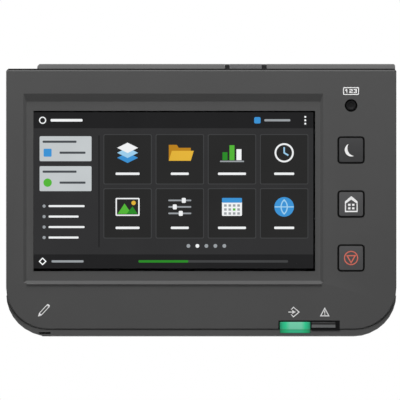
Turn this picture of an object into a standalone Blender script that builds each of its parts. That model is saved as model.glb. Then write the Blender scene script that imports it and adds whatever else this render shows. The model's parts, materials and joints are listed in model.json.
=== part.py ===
"""Operation panel of an office copier: a touch screen unit on a tilt hinge, with its arm and bracket.

Metres, +Z up. The origin is the middle of the bracket's rear face, which bolts to the machine. The screen
looks along -Y and X runs to the user's right. Places on the panel are given from its left edge, from its top
edge and as a depth behind its front face.
"""

import math

import bmesh
import bpy
from mathutils import Matrix

MM = 0.001

# Clearances
SEAT_GAP = 0.3 * MM
LENS_GAP = 0.15 * MM
KEY_GAP = 1.1 * MM
PEN_GAP = 0.3 * MM

# Screen field on the front cover
SCREEN_WIDTH = 223.6 * MM
SCREEN_HEIGHT = 127.4 * MM
FLOOR_LEFT = 5.5 * MM
FLOOR_RIGHT = 4.0 * MM
FLOOR_TOP = 7.3 * MM
FLOOR_BOTTOM = 7.45 * MM
SLOPE_TOP = 6.3 * MM
SLOPE_SIDE = 2.4 * MM
SLOPE_BOTTOM = 1.8 * MM
FIELD_DEPTH = 2.5 * MM
RIDGE_RISE = 1.0 * MM
RIDGE_UPPER = 0.9 * MM
RIDGE_LOWER = 1.6 * MM
RIDGE_LEFT = 2.7 * MM
RIDGE_RIGHT = 1.5 * MM

# Covers
MARGIN_LEFT = 13.7 * MM
MARGIN_TOP = 19.7 * MM
MARGIN_BOTTOM = 36.75 * MM
COVER_WALL = 2.2 * MM
COVER_DEPTH = 14.0 * MM
HOUSING_DEPTH = 34.0 * MM
HOUSING_ROUND = 5.0 * MM
EDGE_ROUND = 0.9 * MM
LOW_CORNER = 33.3 * MM
HIGH_CORNER = 1.2 * MM
SEAM_GAP = 0.3 * MM
TOP_STEP = 1.0 * MM
BEAD_RISE = 0.45 * MM
BEAD_WIDTH = 0.8 * MM
BEAD_LAND = 0.15 * MM
BEAD_LEAN = 0.6
BEAD_ROOT = 1.5 * MM
CHIN_DEPTH = 0.15 * MM
CHIN_WALL = 4.9 * MM
CHIN_LEAN = 0.07
CHIN_DROP_FRONT = 5.1 * MM
CHIN_DROP_BACK = 6.6 * MM
CHIN_REACH = 0.8
CORNER_STEPS = 8

# Keys and their board
KEY_SIZE = 19.6 * MM
KEY_CORNER = 1.8 * MM
KEY_RISE = 0.5 * MM
KEY_CHAMFER = 0.4 * MM
KEY_FLANGE = 2.2 * MM
KEY_FLANGE_THICK = 1.1 * MM
KEY_STEM_RADIUS = 2.0 * MM
KEY_STEM = 0.9 * MM
KEY_TRAVEL = 0.8 * MM
KEY_PITCH = 42.8 * MM
KEY_TO_SCREEN = 22.0 * MM
KEY_TO_EDGE = 36.0 * MM
HOME_BELOW_CENTRE = 10.3 * MM
COUNTER_PITCH = 35.4 * MM
COUNTER_RADIUS = 4.1 * MM
COUNTER_WELL_GAP = 0.95 * MM
COUNTER_SINK = 0.8 * MM
COUNTER_DISH = 0.5 * MM
WELL_WALL = 1.3 * MM
SWITCH_SIZE = 6.2 * MM
SWITCH_HEIGHT = 3.5 * MM
SWITCH_FLOOR = 0.6 * MM
PLUNGER_RADIUS = 1.7 * MM
PLUNGER_RISE = 1.0 * MM
PLUNGER_LENGTH = 2.5 * MM
BOARD_THICK = 1.6 * MM
KEY_BOARD_WIDTH = 24.0 * MM
KEY_BOARD_FOOT = 22.3 * MM
KEY_BOSS_RADIUS = 2.8 * MM
KEY_BOSS_OFFSET = 8.0 * MM

# Indicator bar on the lower edge
DATA_LENS_WIDTH = 24.2 * MM
ERROR_LENS_WIDTH = 20.0 * MM
FRAME_LEFT = 0.9 * MM
FRAME_DIVIDER = 0.6 * MM
FRAME_RIGHT = 2.1 * MM
FRAME_TOP = 1.0 * MM
FRAME_SILL = 0.9 * MM
FRAME_FLANGE = 2.0 * MM
FRAME_FLANGE_THICK = 1.4 * MM
FRAME_SINK = 0.2 * MM
INDICATOR_HEIGHT = 6.9 * MM
INDICATOR_TO_KEYS = 9.1 * MM
LENS_RISE = 0.05 * MM
LENS_BEND = 0.6 * MM
LENS_APRON = 2.9 * MM
LENS_APRON_DEPTH = 2.7 * MM
LED_WIDTH = 3.0 * MM
LED_HEIGHT = 1.6 * MM
LED_THICK = 1.4 * MM

# Screen stack
GASKET_THICK = 0.8 * MM
GASKET_REVEAL = 1.0 * MM
GLASS_THICK = 1.8 * MM
GLASS_MARGIN = 7.5 * MM
TRAY_MARGIN = 8.0 * MM
TRAY_WALL = 1.5 * MM
TRAY_FLOOR = 1.0 * MM
CELL_THICK = 2.2 * MM
BACKLIGHT_THICK = 2.8 * MM

# Chassis plate and main board
CHASSIS_THICK = 1.2 * MM
CHASSIS_SIDE = 3.5 * MM
CHASSIS_TOP = 16.0 * MM
CHASSIS_SKIRT = 3.0 * MM
CHASSIS_BOSS_RADIUS = 3.2 * MM
CHASSIS_BOSS_SIDE = 7.9 * MM
CHASSIS_BOSS_END = 14.0 * MM
STANDOFF = 4.0 * MM
STANDOFF_RADIUS = 3.0 * MM
MAIN_BOARD_WIDTH = 140.0 * MM
MAIN_BOARD_HEIGHT = 80.0 * MM
MAIN_BOARD_DROP = 5.0 * MM
STANDOFF_INSET = 6.0 * MM
PROCESSOR_SIZE = 24.0 * MM
PROCESSOR_THICK = 2.2 * MM
MEMORY_WIDTH = 12.0 * MM
MEMORY_HEIGHT = 16.0 * MM
MEMORY_THICK = 1.2 * MM
CHIP_SPACING = 14.0 * MM
BUZZER_RADIUS = 6.0 * MM
BUZZER_THICK = 5.0 * MM
BUZZER_INSET = 16.0 * MM
CONNECTOR_DEPTH = 5.0 * MM
CONNECTOR_THICK = 2.5 * MM
CONNECTOR_SIDE = 2.0 * MM
CABLE_THICK = 0.3 * MM
LCD_CABLE_WIDTH = 20.0 * MM
KEY_CABLE_WIDTH = 14.0 * MM
CABLE_SLOT_GAP = 2.0 * MM
CABLE_BEND = 2.6 * MM

# Tilt hinge
BARREL_RADIUS = 10.0 * MM
BARREL_RISE = 4.5 * MM
BARREL_LEFT = 24.0 * MM
BARREL_RIGHT = 0.2 * MM
BARREL_RIGHT_ROUND = 0.8 * MM
BARREL_END_ROUND = 1.6 * MM
AXIS_DEPTH = 27.5 * MM
ARM_LENGTH = 62.0 * MM
ARM_RISE = 34.0 * MM
KNUCKLE_FROM_LEFT = 190.3 * MM
KNUCKLE_WIDTH = 25.4 * MM
NOTCH_SIDE = 4.0 * MM
NOTCH_GAP = 0.8 * MM
SHAFT_RADIUS = 4.0 * MM
SHAFT_TAIL = 3.0 * MM
PIN_RADIUS = 1.5 * MM
PIN_REACH = 3.0 * MM
PIN_SINK = 1.0 * MM
LEAF_GAP = 1.6 * MM
LEAF_THICK = 4.0 * MM
LEAF_EYE = 6.5 * MM
LEAF_FOOT_WIDTH = 26.0 * MM
LEAF_FOOT_TOP = 5.8 * MM
LEAF_FOOT_HEIGHT = 34.0 * MM
LEAF_FOOT_THICK = 2.0 * MM
LEAF_WEB_TOE = 3.0 * MM
BUSH_SINK = 0.1 * MM
BUSH_GAP = 0.1 * MM
WASHER_RADIUS = 6.8 * MM
WASHER_THICK = 1.0 * MM
NUT_RADIUS = 6.9 * MM
NUT_THICK = 5.0 * MM

# Arm and bracket
NECK_HEIGHT = 16.0 * MM
NECK_CORNER = 4.0 * MM
NECK_CLEAR = 5.0 * MM
NECK_MIDDLE_RISE = 0.62
NECK_MIDDLE_WIDTH = 30.0 * MM
NECK_MIDDLE_HEIGHT = 22.0 * MM
NECK_ROOT_WIDTH = 38.0 * MM
NECK_ROOT_HEIGHT = 34.0 * MM
ARM_BASE_WIDTH = 62.0 * MM
ARM_BASE_HEIGHT = 44.0 * MM
ARM_BASE_THICK = 8.0 * MM
ARM_BASE_CORNER = 5.0 * MM
ARM_SCREW_SIDE_INSET = 5.5 * MM
ARM_SCREW_END_INSET = 7.0 * MM
ARM_SCREW_RADIUS = 2.5 * MM
ARM_SCREW_HEAD_RADIUS = 4.3 * MM
ARM_SCREW_HEAD = 3.0 * MM
BRACKET_WIDTH = 96.0 * MM
BRACKET_HEIGHT = 70.0 * MM
BRACKET_THICK = 3.0 * MM
BRACKET_CORNER = 6.0 * MM
BRACKET_FLANGE = 12.0 * MM
BRACKET_FLANGE_INSET = 8.0 * MM
FIXING_RADIUS = 3.3 * MM
FIXING_SIDE_INSET = 10.0 * MM
FIXING_END_INSET = 12.0 * MM
SCREW_HOLE_GAP = 0.3 * MM

# Rear cover fittings
REAR_BOSS_RADIUS = 4.8 * MM
REAR_BOSS_SIDE = 10.5 * MM
REAR_SCREW_RADIUS = 1.5 * MM
REAR_SCREW_HEAD_RADIUS = 3.2 * MM
REAR_SCREW_HEAD = 2.4 * MM
REAR_SCREW_SINK = 6.0 * MM
LOUVRE_COUNT = 9
LOUVRE_PITCH = 6.0 * MM
LOUVRE_WIDTH = 2.4 * MM
LOUVRE_LENGTH = 46.0 * MM

# Pen and its tube
PEN_FROM_LEFT = 30.7 * MM
PEN_RADIUS = 3.4 * MM
PEN_LENGTH = 90.0 * MM
PEN_TAIL = 7.0 * MM
PEN_TAIL_ROUND = 0.8 * MM
PEN_NIB = 12.0 * MM
PEN_NIB_TIP = 0.8 * MM
PEN_BORE = 1.9 * MM
PEN_SPIGOT = 6.0 * MM
PEN_TUBE_WALL = 1.2 * MM
PEN_TUBE_CLEAR = 0.5 * MM
PEN_TUBE_ROOF = 1.5 * MM
PEN_HEAD_ROOM = 2.0 * MM
PEN_TUBE_SINK = 4.0 * MM
PEN_TAIL_GROOVE = 0.8 * MM
PEN_RIB_THICK = 3.0 * MM
PEN_RIB_HEIGHT = 20.0 * MM
NAIL_SLOT_WIDTH = 9.2 * MM
NAIL_SLOT_TOP = 2.2 * MM
NAIL_SLOT_HEIGHT = 1.4 * MM

# How fine the round pieces are and how far cutters run past a wall
ROUND_STEPS = 32
SMALL_STEPS = 16
OVERSHOOT = 2.0 * MM
SINK = 0.6 * MM

# Places on the panel, from its left and top edges
WINDOW_LEFT = MARGIN_LEFT + SLOPE_SIDE + FLOOR_LEFT
WINDOW_RIGHT = WINDOW_LEFT + SCREEN_WIDTH
WINDOW_TOP = MARGIN_TOP + SLOPE_TOP + FLOOR_TOP
WINDOW_BOTTOM = WINDOW_TOP + SCREEN_HEIGHT
SCREEN_MIDDLE_X = (WINDOW_LEFT + WINDOW_RIGHT) / 2
SCREEN_MIDDLE_Z = (WINDOW_TOP + WINDOW_BOTTOM) / 2
FIELD_RIGHT = WINDOW_RIGHT + FLOOR_RIGHT + SLOPE_SIDE
FIELD_BOTTOM = WINDOW_BOTTOM + FLOOR_BOTTOM + SLOPE_BOTTOM
KEY_X = FIELD_RIGHT + KEY_TO_SCREEN
PANEL_WIDTH = KEY_X + KEY_TO_EDGE
PANEL_HEIGHT = FIELD_BOTTOM + MARGIN_BOTTOM
HOME_Z = SCREEN_MIDDLE_Z + HOME_BELOW_CENTRE
ENERGY_Z = HOME_Z - KEY_PITCH
STOP_Z = HOME_Z + KEY_PITCH
COUNTER_Z = ENERGY_Z - COUNTER_PITCH

# The panel in the world
PANEL_LEFT = -KNUCKLE_FROM_LEFT
AXIS_Z = ARM_RISE
PANEL_TOP = AXIS_Z + BARREL_RADIUS - BARREL_RISE
AXIS_Y = -ARM_LENGTH
FRONT_Y = AXIS_Y - AXIS_DEPTH
SEAM_Z = PANEL_TOP - PANEL_HEIGHT

# Depths behind the front face, from the front to the back
FLOOR_BACK = FIELD_DEPTH + COVER_WALL
GASKET_FRONT = FLOOR_BACK + SEAT_GAP
GLASS_FRONT = GASKET_FRONT + GASKET_THICK + SEAT_GAP
TRAY_FRONT = GLASS_FRONT + GLASS_THICK + SEAT_GAP
BACKLIGHT_FRONT = TRAY_FRONT + CELL_THICK + SEAT_GAP
TRAY_POCKET = BACKLIGHT_FRONT + BACKLIGHT_THICK + SEAT_GAP
TRAY_BACK = TRAY_POCKET + TRAY_FLOOR
CHASSIS_FRONT = max(TRAY_BACK, COVER_DEPTH) + SEAT_GAP
CHASSIS_BACK = CHASSIS_FRONT + CHASSIS_THICK
MAIN_BOARD_FRONT = CHASSIS_BACK + STANDOFF + SEAT_GAP
MAIN_BOARD_BACK = MAIN_BOARD_FRONT + BOARD_THICK
CHIP_FRONT = MAIN_BOARD_BACK + SEAT_GAP
FLANGE_FRONT = COVER_WALL + SEAT_GAP
FLANGE_BACK = FLANGE_FRONT + KEY_FLANGE_THICK
STEM_END = FLANGE_BACK + KEY_STEM
PLUNGER_FRONT = STEM_END + SEAT_GAP
SWITCH_FRONT = PLUNGER_FRONT + PLUNGER_RISE
KEY_BOARD_FRONT = SWITCH_FRONT + SWITCH_HEIGHT + SEAT_GAP
KEY_BOARD_BACK = KEY_BOARD_FRONT + BOARD_THICK
REAR_FRONT = COVER_DEPTH + SEAT_GAP
REAR_INSIDE = HOUSING_DEPTH - COVER_WALL

# Hinge places along X, from the middle of the knuckle
KNUCKLE_HALF = KNUCKLE_WIDTH / 2
NOTCH_HALF = KNUCKLE_HALF + NOTCH_SIDE
NOTCH_WALL = NOTCH_HALF + COVER_WALL
LEAF_INNER = NOTCH_WALL + LEAF_GAP
LEAF_OUTER = LEAF_INNER + LEAF_THICK
WASHER_INNER = LEAF_OUTER + SEAT_GAP
NUT_INNER = WASHER_INNER + WASHER_THICK + SEAT_GAP
SHAFT_HALF = NUT_INNER + NUT_THICK + SHAFT_TAIL
BUSH_INNER = KNUCKLE_HALF + BUSH_GAP
BUSH_OUTER = NOTCH_HALF - BUSH_GAP
BUSH_RADIUS = BARREL_RADIUS - BUSH_SINK

# Screw places on the arm's base and the bracket, from their middle
ARM_SCREW_SIDE = ARM_BASE_WIDTH / 2 - ARM_SCREW_SIDE_INSET
ARM_SCREW_HEIGHT = ARM_BASE_HEIGHT / 2 - ARM_SCREW_END_INSET
FIXING_SIDE = BRACKET_WIDTH / 2 - FIXING_SIDE_INSET
FIXING_HEIGHT = BRACKET_HEIGHT / 2 - FIXING_END_INSET

# Pen places
PEN_TUBE_BORE = PEN_RADIUS + PEN_GAP
PEN_TUBE_RADIUS = PEN_TUBE_BORE + PEN_TUBE_WALL
PEN_DEPTH = CHASSIS_BACK + PEN_TUBE_CLEAR + PEN_TUBE_RADIUS

# Indicator places
INDICATOR_RIGHT = KEY_X - INDICATOR_TO_KEYS
INDICATOR_WIDTH = FRAME_LEFT + DATA_LENS_WIDTH + FRAME_DIVIDER + ERROR_LENS_WIDTH + FRAME_RIGHT + 4 * LENS_GAP
INDICATOR_LEFT = INDICATOR_RIGHT - INDICATOR_WIDTH
INDICATOR_TOP = PANEL_HEIGHT - INDICATOR_HEIGHT
DATA_LENS_LEFT = INDICATOR_LEFT + FRAME_LEFT + LENS_GAP
ERROR_LENS_LEFT = DATA_LENS_LEFT + DATA_LENS_WIDTH + LENS_GAP + FRAME_DIVIDER + LENS_GAP
LENS_TOP = INDICATOR_TOP + FRAME_TOP + LENS_GAP
LED_FRONT = KEY_BOARD_FRONT - SEAT_GAP - LED_THICK
LEAN_FOOT = PANEL_HEIGHT + CHIN_DROP_FRONT + OVERSHOOT
LENS_BACK = LED_FRONT - SEAT_GAP

# Local x, y and z of a flat outline or a turned piece, laid along each world axis
AXES = {
    "X": Matrix(((0, 0, 1, 0), (1, 0, 0, 0), (0, 1, 0, 0), (0, 0, 0, 1))),
    "Y": Matrix(((1, 0, 0, 0), (0, 0, -1, 0), (0, 1, 0, 0), (0, 0, 0, 1))),
    "Z": Matrix.Identity(4),
}


def clear_scene():
    for scene_object in list(bpy.data.objects):
        bpy.data.objects.remove(scene_object)


def new_collection(name):
    collection = bpy.data.collections.new(name)
    bpy.context.scene.collection.children.link(collection)
    return collection


clear_scene()
PARTS = new_collection("Copier_Operation_Panel")
CUTTERS = new_collection("Cutters")


def linear(channel):
    return channel / 12.92 if channel <= 0.04045 else ((channel + 0.055) / 1.055) ** 2.4


def material(name, colour, roughness, metallic=0.0):
    """Principled material from a six-digit sRGB colour."""
    made = bpy.data.materials.new(name)
    made.use_nodes = True
    shader = made.node_tree.nodes["Principled BSDF"]
    channels = [linear(int(colour[place : place + 2], 16) / 255) for place in (0, 2, 4)]
    shader.inputs["Base Color"].default_value = (*channels, 1.0)
    shader.inputs["Roughness"].default_value = roughness
    shader.inputs["Metallic"].default_value = metallic
    return made


CASE_PLASTIC = material("case_plastic", "505050", 0.5)
KEY_PLASTIC = material("key_plastic", "585858", 0.45)
DARK_KEY_PLASTIC = material("dark_key_plastic", "424242", 0.4)
BLACK_PLASTIC = material("black_plastic", "101010", 0.35)
GLASS = material("screen_glass", "202224", 0.1)
CELL = material("lcd_cell", "2c2d2f", 0.2)
DIFFUSER = material("diffuser_acrylic", "e8ecee", 0.4)
STEEL = material("zinc_steel", "a9acae", 0.35, 1.0)
CASTING = material("painted_casting", "5a5a5a", 0.5)
SCREW_STEEL = material("black_screw_steel", "2b2b2d", 0.4, 1.0)
CIRCUIT_BOARD = material("circuit_board", "1f5a34", 0.45)
CHIP = material("chip_resin", "1b1b1c", 0.5)
CONNECTOR = material("connector_nylon", "d9d4c4", 0.5)
CABLE = material("flat_cable", "d6d9dc", 0.4)
FOAM = material("gasket_foam", "141414", 0.9)
GREEN_LENS = material("green_lens", "39c89a", 0.25)
SMOKED_LENS = material("smoked_lens", "4a4a4c", 0.25)
LED_RESIN = material("led_resin", "ece8d2", 0.3)


def x_at(from_left):
    return PANEL_LEFT + from_left


def z_at(from_top):
    return PANEL_TOP - from_top


def y_at(depth):
    return FRONT_Y + depth


def lip_depth(from_top):
    """Depth of the lip's front face, which leans back towards its upper edge."""
    return CHIN_DEPTH + CHIN_LEAN * (LEAN_FOOT - from_top)


def add_object(name, mesh):
    made = bpy.data.objects.new(name, mesh)
    PARTS.objects.link(made)
    return made


def from_bmesh(name, shape):
    mesh = bpy.data.meshes.new(name)
    bmesh.ops.recalc_face_normals(shape, faces=shape.faces)
    shape.to_mesh(mesh)
    shape.free()
    return add_object(name, mesh)


def box(name, x_range, y_range, z_range):
    """Block between two corners in the world."""
    shape = bmesh.new()
    bmesh.ops.create_cube(shape, size=1.0)
    ranges = (x_range, y_range, z_range)
    for vertex in shape.verts:
        vertex.co = [low + (place + 0.5) * (high - low) for place, (low, high) in zip(vertex.co, ranges)]
    return from_bmesh(name, shape)


def rod(name, axis, centre, ends, radius, steps=ROUND_STEPS):
    """Round bar along a world axis. centre holds the two other coordinates, in the order X, Y, Z."""
    low, high = ends
    shape = bmesh.new()
    bmesh.ops.create_cone(
        shape,
        cap_ends=True,
        segments=steps,
        radius1=radius,
        radius2=radius,
        depth=high - low,
        matrix=AXES[axis],
    )
    made = from_bmesh(name, shape)
    made.location = along(axis, centre, (low + high) / 2)
    made.data.shade_smooth()
    made.data.set_sharp_from_angle(angle=math.radians(40))
    return made


def along(axis, centre, place):
    """World point at two plane coordinates and a place along the axis."""
    point = list(centre)
    point.insert("XYZ".index(axis), place)
    return point


def turned(name, axis, centre, profile, steps=ROUND_STEPS):
    """Turned piece. The profile of (radius, place along the axis) runs down its outer side from its far end.

    A profile that keeps off the axis closes on itself and makes a ring.
    """
    flip = -1.0 if axis == "Y" else 1.0
    points = [(radius, 0.0, flip * place) for radius, place in profile]
    edges = [(index, index + 1) for index in range(len(points) - 1)]
    if profile[0][0] > 0:
        edges.append((len(points) - 1, 0))
    mesh = bpy.data.meshes.new(name)
    mesh.from_pydata(points, edges, [])
    made = add_object(name, mesh)
    made.matrix_world = Matrix.Translation(along(axis, centre, 0.0)) @ AXES[axis]
    screw = made.modifiers.new("turn", "SCREW")
    screw.steps = steps
    screw.render_steps = steps
    screw.use_merge_vertices = True
    screw.merge_threshold = 0.00001
    return made


def rounded_outline(left, right, bottom, top, low_radius, high_radius, steps=CORNER_STEPS):
    """Points of a rectangle with round corners, anticlockwise from its lower left corner."""
    corners = (
        (left + low_radius, bottom + low_radius, low_radius, math.pi),
        (right - low_radius, bottom + low_radius, low_radius, 1.5 * math.pi),
        (right - high_radius, top - high_radius, high_radius, 0.0),
        (left + high_radius, top - high_radius, high_radius, 0.5 * math.pi),
    )
    points = []
    for centre_u, centre_v, radius, start in corners:
        for step in range(steps + 1):
            angle = start + 0.5 * math.pi * step / steps
            points.append((centre_u + radius * math.cos(angle), centre_v + radius * math.sin(angle)))
    return points


def square_outline(centre_u, centre_v, width, height, radius, steps=4):
    """Points of a rectangle with four like corners round a centre."""
    sides = (centre_u - width / 2, centre_u + width / 2)
    ends = (centre_v - height / 2, centre_v + height / 2)
    return rounded_outline(*sides, *ends, radius, radius, steps)


def flat(name, axis, outlines, ends):
    """Plate with the given outline and holes, square to a world axis, between two places along it."""
    low, high = ends
    curve = bpy.data.curves.new(name, "CURVE")
    curve.dimensions = "2D"
    curve.fill_mode = "BOTH"
    curve.extrude = (high - low) / 2
    for outline in outlines:
        spline = curve.splines.new("POLY")
        spline.points.add(len(outline) - 1)
        for point, (u, v) in zip(spline.points, outline):
            point.co = (u, v, 0.0, 1.0)
        spline.use_cyclic_u = True
    guide = add_object(name + "_outline", curve)
    guide.matrix_world = Matrix.Translation(along(axis, (0.0, 0.0), (low + high) / 2)) @ AXES[axis]
    bpy.context.view_layer.update()
    evaluated = guide.evaluated_get(bpy.context.evaluated_depsgraph_get())
    mesh = bpy.data.meshes.new_from_object(evaluated)
    shape = bmesh.new()
    shape.from_mesh(mesh)
    bmesh.ops.remove_doubles(shape, verts=shape.verts, dist=0.000001)
    bmesh.ops.recalc_face_normals(shape, faces=shape.faces)
    shape.to_mesh(mesh)
    shape.free()
    made = add_object(name, mesh)
    made.matrix_world = guide.matrix_world
    bpy.data.objects.remove(guide)
    return made


def loft(name, sections):
    """Solid through outlines with the same number of points, each given with its place along Y."""
    shape = bmesh.new()
    rings = [[shape.verts.new((x, y, z)) for x, z in outline] for y, outline in sections]
    count = len(rings[0])
    for near, far in zip(rings, rings[1:]):
        for index in range(count):
            following = (index + 1) % count
            shape.faces.new((near[index], near[following], far[following], far[index]))
    shape.faces.new(rings[0])
    shape.faces.new(rings[-1])
    return from_bmesh(name, shape)


def ribbon(name, path, width_axis, width_ends, thickness):
    """Flat cable: an open strip along a path in the plane across its width, thickened to both sides."""
    low, high = width_ends
    shape = bmesh.new()
    rows = [[shape.verts.new(along(width_axis, point, place)) for place in (low, high)] for point in path]
    for near, far in zip(rows, rows[1:]):
        shape.faces.new((near[0], near[1], far[1], far[0]))
    made = from_bmesh(name, shape)
    thicken = made.modifiers.new("thicken", "SOLIDIFY")
    thicken.thickness = thickness
    thicken.offset = 0.0
    return made


def as_tool(tool):
    """Turns an object into a cutter that isn't a part."""
    PARTS.objects.unlink(tool)
    CUTTERS.objects.link(tool)
    tool.hide_render = True
    tool.display_type = "WIRE"


def combine(target, operation, tools):
    for tool in tools:
        boolean = target.modifiers.new(tool.name, "BOOLEAN")
        boolean.operation = operation
        boolean.solver = "EXACT"
        boolean.object = tool
        as_tool(tool)


def cut(target, *tools):
    combine(target, "DIFFERENCE", tools)


def join(target, *tools):
    combine(target, "UNION", tools)


def paint(finish, *pieces):
    for piece in pieces:
        piece.data.materials.append(finish)


def pivot(name, point):
    """Empty on a joint's axis, to carry the pieces that move on it."""
    empty = bpy.data.objects.new(name, None)
    PARTS.objects.link(empty)
    empty.location = point
    return empty


def carry(empty, *pieces):
    bpy.context.view_layer.update()
    for piece in pieces:
        piece.parent = empty
        piece.matrix_parent_inverse = empty.matrix_world.inverted()


def panel_outline(inset=0.0, drop=0.0, step=0.0):
    """Outline of the panel from the front, moved in by inset. Drop lowers its lower half, step its top."""
    points = rounded_outline(
        x_at(inset),
        x_at(PANEL_WIDTH - inset),
        SEAM_Z + inset,
        PANEL_TOP - step - inset,
        max(LOW_CORNER - inset, SINK),
        max(HIGH_CORNER - inset, SINK),
    )
    middle = (SEAM_Z + PANEL_TOP) / 2
    return [(x, z - drop if z < middle else z) for x, z in points]


def chin_drop(depth):
    """How far the rear cover's underside lies below the seam at a depth."""
    share = (depth - CHIN_DEPTH) / (HOUSING_DEPTH - CHIN_DEPTH)
    return CHIN_DROP_FRONT + share * (CHIN_DROP_BACK - CHIN_DROP_FRONT)


def panel_range(from_left_range, from_top_range):
    left, right = from_left_range
    top, bottom = from_top_range
    return (x_at(left), x_at(right)), (z_at(bottom), z_at(top))


def panel_box(name, from_left_range, depth_range, from_top_range):
    """Block given by its places on the panel."""
    x_range, z_range = panel_range(from_left_range, from_top_range)
    return box(name, x_range, tuple(y_at(depth) for depth in depth_range), z_range)


def panel_rod(name, from_left, from_top, depth_range, radius, steps=SMALL_STEPS):
    """Round bar square to the front face, given by its place on the panel."""
    ends = tuple(y_at(depth) for depth in depth_range)
    return rod(name, "Y", (x_at(from_left), z_at(from_top)), ends, radius, steps)


def panel_frame(name, from_left, from_top, inner, wall, radius, depth_range):
    """Square rib round a place on the panel."""
    centre = (x_at(from_left), z_at(from_top))
    outer = inner + 2 * wall
    outlines = (
        square_outline(*centre, outer, outer, radius + wall),
        square_outline(*centre, inner, inner, radius),
    )
    return flat(name, "Y", outlines, tuple(y_at(depth) for depth in depth_range))


def field_loft(name, grow, front, back):
    """Sunk screen field with sloping sides, grown on every side, between two depths."""
    sections = []
    for share, depth in ((0.0, front), (1.0, back)):
        x_range, z_range = panel_range(
            (MARGIN_LEFT + share * SLOPE_SIDE - grow, FIELD_RIGHT - share * SLOPE_SIDE + grow),
            (MARGIN_TOP + share * SLOPE_TOP - grow, FIELD_BOTTOM - share * SLOPE_BOTTOM + grow),
        )
        sections.append((y_at(depth), rounded_outline(*x_range, *z_range, SINK, SINK, 2)))
    return loft(name, sections)


def key_board_bosses():
    """Places of the bosses that carry the key board, from the left and top edges."""
    return (
        (KEY_X - KEY_BOSS_OFFSET, ENERGY_Z - KEY_PITCH / 2),
        (KEY_X + KEY_BOSS_OFFSET, ENERGY_Z - KEY_PITCH / 2),
        (KEY_X - KEY_BOSS_OFFSET, HOME_Z + KEY_PITCH / 2),
        (KEY_X + KEY_BOSS_OFFSET, HOME_Z + KEY_PITCH / 2),
        (INDICATOR_LEFT + KEY_BOSS_OFFSET, INDICATOR_TOP - FRAME_FLANGE - 2 * KEY_BOSS_RADIUS),
    )


def chassis_ends():
    """Top and bottom edges of the chassis plate, from the panel's top edge."""
    return CHASSIS_TOP, WINDOW_BOTTOM + TRAY_MARGIN + CHASSIS_SKIRT


def side_places(inset):
    """Four places near the ends of the chassis plate, an inset from the panel's sides."""
    top, bottom = chassis_ends()
    return [
        (from_left, from_top)
        for from_left in (inset, PANEL_WIDTH - inset)
        for from_top in (top + CHASSIS_BOSS_END, bottom - CHASSIS_BOSS_END)
    ]


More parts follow.
